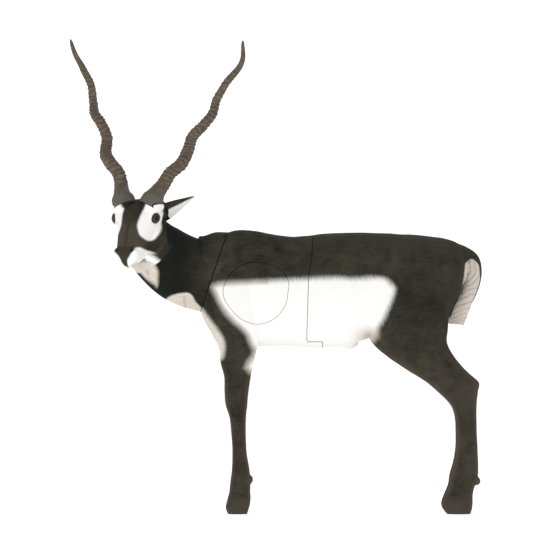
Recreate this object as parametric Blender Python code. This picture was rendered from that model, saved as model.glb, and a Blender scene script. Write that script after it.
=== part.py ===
"""A life-size foam archery target in the shape of a standing male blackbuck.

The animal faces -X, its left flank faces -Y, and it stands on the floor at z = 0. Lengths are metres. The
body is moulded foam in three lengths (head and neck, front body, rear body) with a rounded replaceable insert
behind the shoulder and a pair of ringed, spiral horns plugged into the head.
"""

import math

import bmesh
import bpy
import numpy as np
from mathutils import Matrix

# Gap left between two pieces that touch, and how far a fitted piece is grown to cut its own seat
GAP = 0.0003
HALF_GAP = GAP / 2

# Resolution of the flesh before and after it is thinned
BODY_VOXEL = 0.006
HEAD_VOXEL = 0.003
BODY_FACES = 4500
NECK_FACES = 800
HEAD_FACES = 1800
SMOOTH_ROUNDS = 14

# Torso: place along x, height of the back, height of the belly, half width
TORSO = (
    (-0.222, 0.690, 0.610, 0.030),
    (-0.205, 0.730, 0.556, 0.058),
    (-0.185, 0.762, 0.520, 0.075),
    (-0.155, 0.790, 0.488, 0.092),
    (-0.110, 0.808, 0.480, 0.108),
    (-0.050, 0.805, 0.476, 0.121),
    (0.020, 0.792, 0.478, 0.128),
    (0.080, 0.791, 0.474, 0.132),
    (0.135, 0.798, 0.472, 0.133),
    (0.200, 0.801, 0.480, 0.130),
    (0.270, 0.801, 0.500, 0.124),
    (0.360, 0.797, 0.535, 0.116),
    (0.430, 0.792, 0.570, 0.104),
    (0.490, 0.783, 0.605, 0.086),
    (0.530, 0.766, 0.640, 0.062),
    (0.556, 0.735, 0.680, 0.028),
)
BARREL = 0.10

# Neck: centre x, y and z, half height across the neck, half width
NECK = (
    (-0.020, 0.000, 0.655, 0.100, 0.075),
    (-0.090, 0.000, 0.668, 0.126, 0.090),
    (-0.174, 0.000, 0.684, 0.120, 0.088),
    (-0.235, -0.006, 0.687, 0.103, 0.078),
    (-0.285, -0.022, 0.708, 0.097, 0.070),
    (-0.338, -0.046, 0.751, 0.087, 0.064),
    (-0.378, -0.064, 0.800, 0.070, 0.052),
)

# Front leg: height, front edge x, rear edge x, centre y, half width
FRONT_LEG = (
    (0.755, -0.120, -0.065, 0.050, 0.020),
    (0.700, -0.165, -0.035, 0.062, 0.042),
    (0.630, -0.185, -0.030, 0.072, 0.050),
    (0.560, -0.188, -0.038, 0.078, 0.049),
    (0.510, -0.178, -0.044, 0.078, 0.046),
    (0.474, -0.160, -0.050, 0.077, 0.041),
    (0.432, -0.155, -0.061, 0.075, 0.035),
    (0.391, -0.145, -0.069, 0.073, 0.029),
    (0.343, -0.144, -0.076, 0.071, 0.027),
    (0.309, -0.140, -0.079, 0.070, 0.026),
    (0.272, -0.129, -0.083, 0.069, 0.021),
    (0.225, -0.124, -0.084, 0.068, 0.019),
    (0.170, -0.121, -0.081, 0.067, 0.019),
    (0.123, -0.123, -0.073, 0.066, 0.022),
    (0.094, -0.127, -0.070, 0.065, 0.024),
    (0.062, -0.130, -0.071, 0.065, 0.024),
    (0.036, -0.137, -0.070, 0.065, 0.028),
    (0.016, -0.140, -0.074, 0.065, 0.029),
    (-0.006, -0.130, -0.082, 0.065, 0.025),
    (-0.020, -0.124, -0.088, 0.065, 0.020),
)

# Hind leg, in the same terms
HIND_LEG = (
    (0.765, 0.400, 0.500, 0.040, 0.026),
    (0.710, 0.330, 0.536, 0.058, 0.050),
    (0.640, 0.288, 0.530, 0.066, 0.060),
    (0.570, 0.272, 0.498, 0.070, 0.060),
    (0.523, 0.268, 0.492, 0.072, 0.056),
    (0.486, 0.278, 0.490, 0.073, 0.052),
    (0.446, 0.322, 0.511, 0.073, 0.045),
    (0.403, 0.386, 0.549, 0.072, 0.036),
    (0.375, 0.431, 0.580, 0.071, 0.030),
    (0.350, 0.461, 0.578, 0.070, 0.027),
    (0.315, 0.497, 0.574, 0.069, 0.023),
    (0.280, 0.514, 0.573, 0.068, 0.021),
    (0.230, 0.518, 0.574, 0.067, 0.020),
    (0.180, 0.516, 0.577, 0.066, 0.021),
    (0.140, 0.509, 0.578, 0.066, 0.023),
    (0.108, 0.500, 0.578, 0.065, 0.025),
    (0.082, 0.496, 0.570, 0.065, 0.026),
    (0.058, 0.487, 0.563, 0.065, 0.027),
    (0.030, 0.477, 0.562, 0.065, 0.030),
    (0.012, 0.480, 0.560, 0.065, 0.030),
    (-0.006, 0.496, 0.552, 0.065, 0.025),
    (-0.020, 0.506, 0.544, 0.065, 0.020),
)

# Dewclaws behind each fetlock: x, z, offset each side, radius
FRONT_DEWCLAW = (-0.073, 0.096, 0.011, 0.010)
HIND_DEWCLAW = (0.573, 0.095, 0.011, 0.011)
# Cleft of each hoof: tip of the toe in x, depth to the rear, width at the toe, height
FRONT_CLEFT = (-0.146, 0.044, 0.007, 0.040)
HIND_CLEFT = (0.471, 0.052, 0.007, 0.038)

# Sheath under the belly: x, z, radii
SHEATH = (0.212, 0.484, 0.026, 0.013, 0.015)

# Head: crown between the horns, turn from the -Y direction towards -X, and slope of the face
CROWN = (-0.391, -0.090, 0.895)
HEAD_TURN = math.radians(25.0)
FACE_SLOPE = math.radians(60.0)

# Skull and muzzle: distance down the face, forehead side, jaw side, half width
SKULL = (
    (-0.052, -0.088, -0.106, 0.018),
    (-0.038, -0.060, -0.116, 0.042),
    (-0.016, -0.026, -0.119, 0.057),
    (0.012, 0.000, -0.119, 0.062),
    (0.045, 0.012, -0.119, 0.059),
    (0.075, 0.014, -0.119, 0.052),
    (0.100, 0.012, -0.109, 0.046),
    (0.125, 0.008, -0.097, 0.040),
    (0.150, 0.003, -0.086, 0.036),
    (0.172, -0.001, -0.075, 0.032),
    (0.187, -0.008, -0.061, 0.027),
    (0.197, -0.018, -0.048, 0.018),
)
SKULL_TAPER = 0.16
SKULL_POWER = 2.3

# Lumps of the head: to the side, down the face, out of the face, then their three radii
BROW = (0.046, 0.028, -0.012, 0.018, 0.022, 0.014)
CHEEK = (0.036, 0.078, -0.078, 0.020, 0.044, 0.036)
NOSE = (0.018, 0.167, -0.012, 0.019, 0.015, 0.015)
LIP = (0.010, 0.176, -0.033, 0.020, 0.024, 0.015)
CHIN = (0.000, 0.175, -0.049, 0.018, 0.020, 0.012)
# Boss under each horn: how far it lies below the horn's root, and its radii
BOSS_DROP = 0.018
BOSS_RADII = (0.031, 0.033, 0.026)

# Eye: centre to the side, down the face, out of the face, its turn from straight ahead to the side, and its
# radii through it, along the face and across it
EYE = (0.0643, 0.0534, -0.0155)
EYE_TURN = math.radians(48.0)
EYE_RADII = (0.0100, 0.0155, 0.0125)
# Orbit under the eye: how far it is sunk and its radii, and how far the lids stand off the eye and their half
# thickness
ORBIT_SINK = 0.0095
ORBIT_RADII = (0.0120, 0.0225, 0.0195)
LID_OFF = 0.0024
LID_THICKNESS = 0.0028

# Nostril: centre to the side, down the face, out of the face, and radii of the pit
NOSTRIL = (0.0245, 0.161, -0.003)
NOSTRIL_RADII = (0.0085, 0.0042, 0.0060)

# Mouth: height out of the face at the lips and at the corner, where it runs from the corner to the lips down
# the face, half width at the lips, width and depth of the line, and how far its cutter stands out
MOUTH_FRONT = -0.041
MOUTH_REAR = -0.049
MOUTH_CORNER = 0.135
MOUTH_BEND = 0.189
MOUTH_END = 0.1965
MOUTH_TIP = 0.014
MOUTH_WIDTH = 0.0022
MOUTH_DEPTH = 0.0035
MOUTH_OUTSIDE = 0.014
MOUTH_STEPS = 11

# Ear: root to the side, forward and up from the crown, how far the lump at its root is set in, and its radii
EAR_ROOT = (0.058, -0.058, -0.036)
EAR_INSET = 0.006
EAR_ROOT_RADII = (0.019, 0.021, 0.022)
# Ear: length, sweep out and lift, half width with its taper, waist and least value, cup and its turn to the
# front, foam thickness, and depth in the head
EAR_LENGTH = 0.112
EAR_SWEEP = math.radians(30.0)
EAR_LIFT = math.radians(24.0)
EAR_HALF_WIDTH = 0.027
EAR_TAPER = 1.08
EAR_WAIST = 0.28
EAR_EDGE = 0.0025
EAR_CUP = 0.016
EAR_FRONT = 0.55
EAR_FOAM = 0.0065
EAR_SINK = 0.012

# Horns: root to the side, forward and up from the crown, and each tip in the same terms (1 left, -1 right)
HORN_ROOT = (0.048, -0.005, 0.000)
HORN_TIPS = {1: (0.2682, -0.134, 0.4509), -1: (0.2818, -0.134, 0.4641)}
HORN_SINK = 0.022
HORN_BOW_BACK = 0.022
# Coil of the horns to the front and rear: its radius, and as shares of the length its pitch, its start, and
# the stretches over which it grows at the root and dies out at the tip
COIL_RADIUS = 0.0095
COIL_PITCH = 0.272
COIL_START = 0.280
COIL_GROWS = 0.10
COIL_FADES = 0.20
# Slow loss of the coil along the horn: strength at the root, above one where it is held, and loss to the tip
COIL_AT_ROOT = 1.25
COIL_LOSS = 0.55
HORN_RINGS = 24
HORN_RING_END = 0.80
HORN_RING_HEIGHT = 0.0014
HORN_SIDES = 8
# Bends of the left horn: share of the length, distance out from the straight line
LEFT_BENDS = (
    (0.00, 0.0000),
    (0.08, -0.0045),
    (0.16, 0.0013),
    (0.24, 0.0181),
    (0.32, 0.0057),
    (0.40, -0.0033),
    (0.48, 0.0153),
    (0.56, 0.0176),
    (0.64, 0.0050),
    (0.72, 0.0132),
    (0.82, 0.0222),
    (0.91, 0.0239),
    (1.00, 0.0000),
)
# Bends of the right horn, in the same terms
RIGHT_BENDS = (
    (0.00, 0.0000),
    (0.08, -0.0020),
    (0.16, -0.0086),
    (0.24, 0.0054),
    (0.32, 0.0151),
    (0.40, -0.0039),
    (0.48, -0.0043),
    (0.56, 0.0085),
    (0.64, 0.0015),
    (0.72, -0.0121),
    (0.82, -0.0047),
    (0.91, 0.0030),
    (1.00, 0.0000),
)
# Horn radius: share of the length, radius
HORN_RADIUS = (
    (-0.06, 0.0330),
    (0.000, 0.0328),
    (0.020, 0.0275),
    (0.045, 0.0232),
    (0.080, 0.0205),
    (0.130, 0.0190),
    (0.250, 0.0175),
    (0.450, 0.0152),
    (0.650, 0.0118),
    (0.800, 0.0098),
    (0.920, 0.0070),
    (0.980, 0.0046),
    (1.000, 0.0022),
)

# Tail: centre x and z, half depth, half width
TAIL = (
    (0.512, 0.772, 0.012, 0.014),
    (0.540, 0.752, 0.022, 0.026),
    (0.560, 0.722, 0.026, 0.033),
    (0.564, 0.686, 0.0265, 0.038),
    (0.559, 0.655, 0.026, 0.040),
    (0.546, 0.621, 0.025, 0.040),
    (0.531, 0.588, 0.023, 0.037),
    (0.521, 0.558, 0.022, 0.032),
    (0.518, 0.540, 0.019, 0.026),
)
TAIL_LOCKS = 9
TAIL_LOCK_DEPTH = 0.0022
TAIL_LOCK_TWIST = 0.9

# Foam kept beyond a parting plane while a piece is thinned, and half the width of the blocks that cut from
# flank to flank
CUT_MARGIN = 0.03
BLOCK_HALF_WIDTH = 0.4
# Parting planes and seams: a point and the direction that looks to the head
NECK_SEAM_TOP = (-0.1314, 0.814)
NECK_SEAM_BOTTOM = (-0.2170, 0.5610)
THROAT_POINT = (-0.343, -0.043, 0.755)
THROAT_NORMAL = (-0.60, -0.45, 0.66)
ELBOW_HEIGHT = 0.466
STIFLE_POINT = (0.270, 0.0, 0.480)
STIFLE_SLOPE = math.radians(21.0)
# Middle seam, seen from the left flank, from above the back to below the belly: x, z
MIDDLE_SEAM = (
    (0.1100, 0.900),
    (0.1060, 0.750),
    (0.0950, 0.670),
    (0.0900, 0.498),
    (0.0940, 0.490),
    (0.1350, 0.490),
    (0.1350, 0.400),
)

# Insert through the ribs: its centre in x and z, and its rounded outline as degrees and radius
INSERT_CENTRE = (-0.0543, 0.6286)
INSERT_OUTLINE = (
    (0, 0.0906),
    (22, 0.0985),
    (46, 0.0962),
    (80, 0.0878),
    (108, 0.0882),
    (136, 0.0898),
    (179, 0.0930),
    (195, 0.0888),
    (219, 0.0834),
    (252, 0.0854),
    (276, 0.0888),
    (322, 0.0896),
    (340, 0.0903),
    (360, 0.0906),
)
INSERT_SIDES = 44

# Paints: colour, roughness
DARK_COAT = ((0.043, 0.036, 0.029), 0.75)
NECK_COAT = ((0.016, 0.016, 0.016), 0.75)
FACE_COAT = ((0.075, 0.065, 0.052), 0.75)
INSERT_COAT = ((0.085, 0.075, 0.062), 0.78)
LEG_COAT = ((0.055, 0.045, 0.033), 0.75)
TAIL_COAT = ((0.50, 0.45, 0.38), 0.80)
EAR_COAT = ((0.62, 0.58, 0.53), 0.80)
EYE_PAINT = ((0.022, 0.016, 0.011), 0.30)
HORN_PAINT = ((0.115, 0.090, 0.062), 0.65)


def smooth_rows(rows, count):
    """Rows of a table filled in by a smooth curve through them, evenly along the rows."""
    rows = np.array(rows, dtype=float)
    knots = np.vstack([2 * rows[0] - rows[1], rows, 2 * rows[-1] - rows[-2]])
    spans = len(rows) - 1
    place = np.linspace(0, spans, count)
    index = np.minimum(place.astype(int), spans - 1)
    t = (place - index)[:, None]
    a, b, c, d = (knots[index + k] for k in range(4))
    cubic = 3 * b - a - 3 * c + d
    square = 2 * a - 5 * b + 4 * c - d
    return 0.5 * (2 * b + (c - a) * t + square * t**2 + cubic * t**3)


def unit(vector):
    """The vector at length one."""
    vector = np.array(vector, dtype=float)
    return vector / np.linalg.norm(vector)


def oval(sides, power=2.0, taper=0.0):
    """Points round a rounded section, as across and up from -1 to 1. Taper widens the upper half."""
    angle = np.linspace(0, 2 * math.pi, sides, endpoint=False)
    across = np.sign(np.cos(angle)) * np.abs(np.cos(angle)) ** (2 / power)
    up = np.sign(np.sin(angle)) * np.abs(np.sin(angle)) ** (2 / power)
    return across * (1 + taper * up), up


def mesh_from(name, points, faces):
    """A mesh of the given points and faces, with its faces turned outwards."""
    mesh = bpy.data.meshes.new(name)
    mesh.from_pydata([tuple(p) for p in points], [], faces)
    work = bmesh.new()
    work.from_mesh(mesh)
    bmesh.ops.recalc_face_normals(work, faces=work.faces)
    work.to_mesh(mesh)
    work.free()
    return mesh


def loft(name, rings):
    """A closed mesh over rings of points, each end closed to the middle of its ring."""
    rings = np.array(rings)
    count, sides = rings.shape[:2]
    points = np.vstack([rings.reshape(-1, 3), rings[0].mean(0), rings[-1].mean(0)])
    faces = []
    for r in range(count - 1):
        for s in range(sides):
            n = (s + 1) % sides
            faces.append((r * sides + s, r * sides + n, (r + 1) * sides + n, (r + 1) * sides + s))
    first, last = count * sides, count * sides + 1
    end = (count - 1) * sides
    for s in range(sides):
        n = (s + 1) % sides
        faces.append((first, n, s))
        faces.append((last, end + s, end + n))
    return mesh_from(name, points, faces)


def ellipsoid(name, centre, axes, radii, rings=12, sides=20):
    """A closed ellipsoid with its radii along three given directions."""
    centre = np.array(centre)
    polar = np.linspace(0, math.pi, rings + 2)[1:-1]
    angle = np.linspace(0, 2 * math.pi, sides, endpoint=False)
    p, a = np.meshgrid(polar, angle, indexing="ij")
    unit_ball = np.stack([np.sin(p) * np.cos(a), np.sin(p) * np.sin(a), np.cos(p)], -1)
    frame = np.array(axes) * np.array(radii)[:, None]
    points = np.vstack([(unit_ball @ frame + centre).reshape(-1, 3), centre + frame[2], centre - frame[2]])
    faces = []
    for r in range(rings - 1):
        for s in range(sides):
            n = (s + 1) % sides
            faces.append((r * sides + s, (r + 1) * sides + s, (r + 1) * sides + n, r * sides + n))
    top, bottom, end = rings * sides, rings * sides + 1, (rings - 1) * sides
    for s in range(sides):
        n = (s + 1) % sides
        faces.append((top, s, n))
        faces.append((bottom, end + n, end + s))
    return mesh_from(name, points, faces)


def torso_form():
    """The barrel of the body as upright sections, widest below the middle."""
    rows = smooth_rows(TORSO, 60)
    across, up = oval(40, power=2.2, taper=-BARREL)
    rings = []
    for x, back, belly, half in rows:
        middle, tall = (back + belly) / 2, (back - belly) / 2
        rings.append(np.stack([np.full(40, x), half * across, middle + tall * up], -1))
    return loft("torso_form", rings)


def neck_form():
    """The neck as sections square to its path, which rises and turns to the left."""
    rows = smooth_rows(NECK, 40)
    centre = rows[:, :3]
    along = np.gradient(centre, axis=0)
    along /= np.linalg.norm(along, axis=1)[:, None]
    across, up = oval(36, power=2.1, taper=0.06)
    rings = []
    for place, way, (tall, half) in zip(centre, along, rows[:, 3:]):
        side = unit(np.cross(way, (0, 0, 1)))
        over = np.cross(side, way)
        rings.append(place + half * across[:, None] * side + tall * up[:, None] * over)
    return loft("neck_form", rings)


def leg_form(name, table, side):
    """A leg as level sections from the shoulder or hip to below the sole."""
    rows = smooth_rows(table, 90)
    across, along = oval(24, power=2.15)
    rings = []
    for z, front, rear, centre, half in rows:
        x = (front + rear) / 2 + (rear - front) / 2 * along
        y = side * centre + half * across
        rings.append(np.stack([x, y, np.full(24, z)], -1))
    return loft(name, rings)


def dewclaw_forms(table, leg_y, side):
    """The two dewclaws behind a fetlock."""
    x, z, offset, radius = table
    axes = np.eye(3)
    radii = (radius, radius * 0.75, radius * 1.15)
    places = [(x, side * leg_y + way * offset, z) for way in (-1, 1)]
    return [ellipsoid("dewclaw_form", place, axes, radii, 8, 12) for place in places]


def head_axes():
    """Directions of the head: to its left, forward, down the face and out of the face."""
    left = np.array((math.cos(HEAD_TURN), -math.sin(HEAD_TURN), 0.0))
    forward = np.array((-math.sin(HEAD_TURN), -math.cos(HEAD_TURN), 0.0))
    up = np.array((0.0, 0.0, 1.0))
    down_face = math.cos(FACE_SLOPE) * forward - math.sin(FACE_SLOPE) * up
    out_face = math.sin(FACE_SLOPE) * forward + math.cos(FACE_SLOPE) * up
    return left, forward, up, down_face, out_face


def on_face(side, down, out):
    """A place on the head, to its left, down the face and out of the face from the crown."""
    left, _, _, down_face, out_face = head_axes()
    return np.array(CROWN) + side * left + down * down_face + out * out_face


def from_crown(side, forward, up):
    """A place on the head, to its left, forward and up from the crown."""
    left, ahead, above, _, _ = head_axes()
    return np.array(CROWN) + side * left + forward * ahead + up * above


def skull_form():
    """Skull and muzzle as sections square to the line of the face."""
    left, _, _, _, out_face = head_axes()
    rows = smooth_rows(SKULL, 60)
    across, up = oval(36, power=SKULL_POWER, taper=SKULL_TAPER)
    rings = []
    for down, fore, jaw, half in rows:
        middle, deep = (fore + jaw) / 2, (fore - jaw) / 2
        centre = on_face(0, down, middle)
        rings.append(centre + half * across[:, None] * left + deep * up[:, None] * out_face)
    return loft("skull_form", rings)


def head_lump(name, table, side):
    """A rounded lump of the head on one side."""
    left, _, _, down_face, out_face = head_axes()
    place, radii = table[:3], table[3:]
    centre = on_face(side * place[0], place[1], place[2])
    return ellipsoid(name, centre, (left, down_face, out_face), radii)


def eye_axes(side):
    """Directions of an eye: out of it, along it down the face, and across it."""
    left, forward, _, down_face, _ = head_axes()
    facing = side * math.sin(EYE_TURN) * left + math.cos(EYE_TURN) * forward
    along = unit(down_face - np.dot(down_face, facing) * facing)
    return facing, along, np.cross(facing, along)


def orbit_form(side):
    """The orbit, a lump that carries the eye."""
    facing, along, across = eye_axes(side)
    centre = on_face(side * EYE[0], EYE[1], EYE[2]) - ORBIT_SINK * facing
    return ellipsoid("orbit_form", centre, (facing, along, across), ORBIT_RADII)


def lid_form(side):
    """The lids as a thin ring round the eye."""
    facing, along, across = eye_axes(side)
    centre = on_face(side * EYE[0], EYE[1], EYE[2])
    angle = np.linspace(0, 2 * math.pi, 24, endpoint=False)
    tube = np.linspace(0, 2 * math.pi, 10, endpoint=False)
    a, t = np.meshgrid(angle, tube, indexing="ij")
    off = LID_OFF + LID_THICKNESS * np.cos(t)
    points = (
        centre
        + ((EYE_RADII[1] + off) * np.cos(a))[..., None] * along
        + ((EYE_RADII[2] + off) * np.sin(a))[..., None] * across
        + (LID_THICKNESS * np.sin(t))[..., None] * facing
    ).reshape(-1, 3)
    faces = []
    for i in range(24):
        for k in range(10):
            j, m = (i + 1) % 24, (k + 1) % 10
            faces.append((i * 10 + k, j * 10 + k, j * 10 + m, i * 10 + m))
    return mesh_from("lid_form", points, faces)


def boss_form(side):
    """The boss of the skull under a horn."""
    left, forward, up, _, _ = head_axes()
    root = from_crown(side * HORN_ROOT[0], HORN_ROOT[1], HORN_ROOT[2] - BOSS_DROP)
    return ellipsoid("boss_form", root, (left, forward, up), BOSS_RADII)


def ear_root_form(side):
    """The thick root of an ear on the skull."""
    left, forward, up, _, _ = head_axes()
    root = from_crown(side * (EAR_ROOT[0] - EAR_INSET), EAR_ROOT[1] + EAR_INSET, EAR_ROOT[2])
    return ellipsoid("ear_root_form", root, (left, forward, up), EAR_ROOT_RADII)


def ear_mesh(side):
    """An ear as a cupped leaf of foam, its hollow turned outwards and forwards."""
    left, forward, up, _, _ = head_axes()
    flat = -math.cos(EAR_SWEEP) * forward + math.sin(EAR_SWEEP) * side * left
    along = math.cos(EAR_LIFT) * flat + math.sin(EAR_LIFT) * up
    open_way = side * left + EAR_FRONT * forward
    hollow = unit(open_way - np.dot(open_way, along) * along)
    wide = np.cross(along, hollow)
    root = from_crown(side * EAR_ROOT[0], EAR_ROOT[1], EAR_ROOT[2]) - EAR_SINK * along
    t = np.linspace(0, 1, 10)
    s = np.linspace(-1, 1, 7)
    t_grid, s_grid = np.meshgrid(t, s, indexing="ij")
    leaf = EAR_TAPER * (1 - t_grid) * (1 - EAR_WAIST * (1 - t_grid) ** 6)
    half = EAR_HALF_WIDTH * leaf + EAR_EDGE
    cup = EAR_CUP * leaf
    length = EAR_LENGTH + EAR_SINK
    middle = root + (length * t_grid)[..., None] * along
    back = (s_grid**2 - 0.75) * cup
    sheet = middle + (half * s_grid)[..., None] * wide + back[..., None] * hollow
    foam = EAR_FOAM * (1 - 0.45 * t_grid) * (1 - 0.35 * s_grid**2)
    inner = sheet + (0.5 * foam)[..., None] * hollow
    outer = sheet - (0.5 * foam)[..., None] * hollow
    return sheet_mesh("ear", inner, outer)


def sheet_mesh(name, upper, lower):
    """A closed mesh between two grids of points that share their outline."""
    rows, columns = upper.shape[:2]
    points = np.vstack([upper.reshape(-1, 3), lower.reshape(-1, 3)])
    below = rows * columns
    faces = []
    for r in range(rows - 1):
        for c in range(columns - 1):
            a = r * columns + c
            quad = (a, a + 1, a + columns + 1, a + columns)
            faces.append(quad)
            faces.append(tuple(below + i for i in reversed(quad)))
    rim = [c for c in range(columns)]
    rim += [r * columns + columns - 1 for r in range(1, rows)]
    rim += [(rows - 1) * columns + c for c in range(columns - 2, -1, -1)]
    rim += [r * columns for r in range(rows - 2, 0, -1)]
    for here, there in zip(rim, rim[1:] + rim[:1]):
        faces.append((there, here, below + here, below + there))
    return mesh_from(name, points, faces)


def horn_mesh(side):
    """A horn as a ringed tube that bends and coils about a straight line."""
    root = from_crown(side * HORN_ROOT[0], HORN_ROOT[1], HORN_ROOT[2])
    tip = from_crown(side * HORN_TIPS[side][0], HORN_TIPS[side][1], HORN_TIPS[side][2])
    along = unit(tip - root)
    left = head_axes()[0]
    outward = unit(side * left - np.dot(side * left, along) * along)
    across = side * np.cross(along, outward)
    backward = side * across * -np.sign(np.dot(side * across, head_axes()[1]))
    length = np.linalg.norm(tip - root)
    ringed = np.linspace(0.03, HORN_RING_END, 2 * HORN_RINGS + 1)
    share = np.concatenate([[-HORN_SINK / length, 0.0, 0.015], ringed, np.linspace(0.825, 1.0, 9)])
    table = smooth_rows(HORN_RADIUS, 200)
    radius = np.interp(share, table[:, 0], table[:, 1])
    crest = np.zeros(len(share))
    crest[4:3 + len(ringed):2] = HORN_RING_HEIGHT
    radius = radius + crest * np.clip(radius / 0.012, 0, 1)
    bends = smooth_rows(LEFT_BENDS if side > 0 else RIGHT_BENDS, 200)
    bend = np.interp(share, bends[:, 0], bends[:, 1])
    swing = COIL_RADIUS * np.clip(share / COIL_GROWS, 0, 1) * np.clip((1 - share) / COIL_FADES, 0, 1)
    swing = swing * np.clip(COIL_AT_ROOT - COIL_LOSS * share, 0, 1)
    turn = 2 * math.pi * (share - COIL_START) / COIL_PITCH
    bow = np.sin(math.pi * np.clip(share, 0, 1))
    centre = (
        root
        + (share * length)[:, None] * along
        + bend[:, None] * outward
        + (HORN_BOW_BACK * bow)[:, None] * backward
        + (swing * np.sin(turn))[:, None] * across
    )
    way = np.gradient(centre, axis=0)
    way /= np.linalg.norm(way, axis=1)[:, None]
    cos_side, sin_side = oval(HORN_SIDES)
    rings = []
    for place, heading, size in zip(centre, way, radius):
        first = unit(np.cross(heading, outward))
        second = np.cross(heading, first)
        rings.append(place + size * (cos_side[:, None] * first + sin_side[:, None] * second))
    return loft("horn", rings)


def tail_mesh():
    """The tail as a hanging brush with moulded locks running down it at a slant."""
    rows = smooth_rows(TAIL, 16)
    centre = np.stack([rows[:, 0], np.zeros(len(rows)), rows[:, 1]], -1)
    along = np.gradient(centre, axis=0)
    along /= np.linalg.norm(along, axis=1)[:, None]
    sides = 2 * TAIL_LOCKS
    across, up = oval(sides, power=2.2)
    ridge = np.where(np.arange(sides) % 2 == 0, TAIL_LOCK_DEPTH / 2, -TAIL_LOCK_DEPTH / 2)
    rings = []
    for step, (place, way, (deep, half)) in enumerate(zip(centre, along, rows[:, 2:])):
        out = np.cross((0.0, 1.0, 0.0), way)
        slant = TAIL_LOCK_TWIST * step / len(rows)
        cos_s, sin_s = math.cos(slant), math.sin(slant)
        turned_across = across * cos_s - up * sin_s
        turned_up = across * sin_s + up * cos_s
        fade = min(1.0, step / 4)
        y = (half + ridge * fade) * turned_across
        x = (deep + ridge * fade) * turned_up
        rings.append(place + y[:, None] * np.array((0.0, 1.0, 0.0)) + x[:, None] * out)
    return loft("tail", rings)


def object_of(mesh, name):
    """An object of the mesh, linked to the scene."""
    thing = bpy.data.objects.new(name, mesh)
    bpy.context.scene.collection.objects.link(thing)
    return thing


def evaluated(thing):
    """The object's mesh with its modifiers applied. The object is removed."""
    graph = bpy.context.evaluated_depsgraph_get()
    mesh = bpy.data.meshes.new_from_object(thing.evaluated_get(graph))
    bpy.data.objects.remove(thing)
    return mesh


def union_of(forms):
    """One mesh from many overlapping closed meshes, by one Boolean union on a collection."""
    base = object_of(forms[0], "base")
    others = bpy.data.collections.new("others")
    bpy.context.scene.collection.children.link(others)
    for form in forms[1:]:
        others.objects.link(bpy.data.objects.new("form", form))
    join = base.modifiers.new("join", "BOOLEAN")
    join.operation = "UNION"
    join.operand_type = "COLLECTION"
    join.collection = others
    join.solver = "EXACT"
    mesh = evaluated(base)
    for thing in list(others.objects):
        bpy.data.objects.remove(thing)
    bpy.data.collections.remove(others)
    return mesh


def boolean(mesh, other, operation, solver="EXACT"):
    """The mesh cut by, or kept inside, another closed mesh."""
    thing = object_of(mesh, "thing")
    tool = object_of(other, "tool")
    cut = thing.modifiers.new("cut", "BOOLEAN")
    cut.operation = operation
    cut.object = tool
    cut.solver = solver
    result = evaluated(thing)
    bpy.data.objects.remove(tool)
    return result


def remeshed(mesh, voxel):
    """The mesh rebuilt on even cells."""
    thing = object_of(mesh, "thing")
    remesh = thing.modifiers.new("remesh", "REMESH")
    remesh.mode = "VOXEL"
    remesh.voxel_size = voxel
    return evaluated(thing)


def relax(mesh, rounds):
    """Soften the mesh without shrinking it: each round pulls in, then pushes back a little more."""
    points = np.empty(len(mesh.vertices) * 3)
    mesh.vertices.foreach_get("co", points)
    points = points.reshape(-1, 3)
    ends = np.empty(len(mesh.edges) * 2, dtype=int)
    mesh.edges.foreach_get("vertices", ends)
    first, second = ends.reshape(-1, 2).T
    count = np.bincount(ends, minlength=len(points)).astype(float)[:, None]
    for pull in (0.55, -0.58) * rounds:
        total = np.zeros_like(points)
        for axis in range(3):
            total[:, axis] = np.bincount(first, points[second, axis], len(points))
            total[:, axis] += np.bincount(second, points[first, axis], len(points))
        points = points + pull * (total / count - points)
    mesh.vertices.foreach_set("co", points.ravel())
    mesh.update()
    return mesh


def thinned(mesh, faces):
    """The mesh brought down to about the given number of triangles."""
    triangles = sum(len(p.vertices) - 2 for p in mesh.polygons)
    thing = object_of(mesh, "thing")
    thin = thing.modifiers.new("thin", "DECIMATE")
    thin.ratio = min(1.0, faces / triangles)
    thin.use_collapse_triangulate = True
    return evaluated(thing)


def grown(mesh, distance):
    """A copy of the mesh with its surface moved outwards."""
    copy = mesh.copy()
    points = np.empty(len(copy.vertices) * 3)
    normals = np.empty(len(copy.vertices) * 3)
    copy.vertices.foreach_get("co", points)
    copy.vertex_normals.foreach_get("vector", normals)
    copy.vertices.foreach_set("co", points + distance * normals)
    copy.update()
    return copy


def sliced(mesh, point, normal, keep):
    """The part of the mesh on one side of a plane, closed there, half a gap short of it."""
    normal = unit(normal)
    work = bmesh.new()
    work.from_mesh(mesh)
    edge = np.array(point) + keep * HALF_GAP * normal
    geometry = work.verts[:] + work.edges[:] + work.faces[:]
    cut = bmesh.ops.bisect_plane(
        work,
        geom=geometry,
        dist=1e-6,
        plane_co=edge,
        plane_no=normal,
        clear_inner=keep > 0,
        clear_outer=keep < 0,
    )
    rim = [e for e in cut["geom_cut"] if isinstance(e, bmesh.types.BMEdge)]
    bmesh.ops.holes_fill(work, edges=rim, sides=0)
    bmesh.ops.triangulate(work, faces=[f for f in work.faces if len(f.verts) > 3])
    bmesh.ops.recalc_face_normals(work, faces=work.faces)
    result = bpy.data.meshes.new("slice")
    work.to_mesh(result)
    work.free()
    return result


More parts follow.
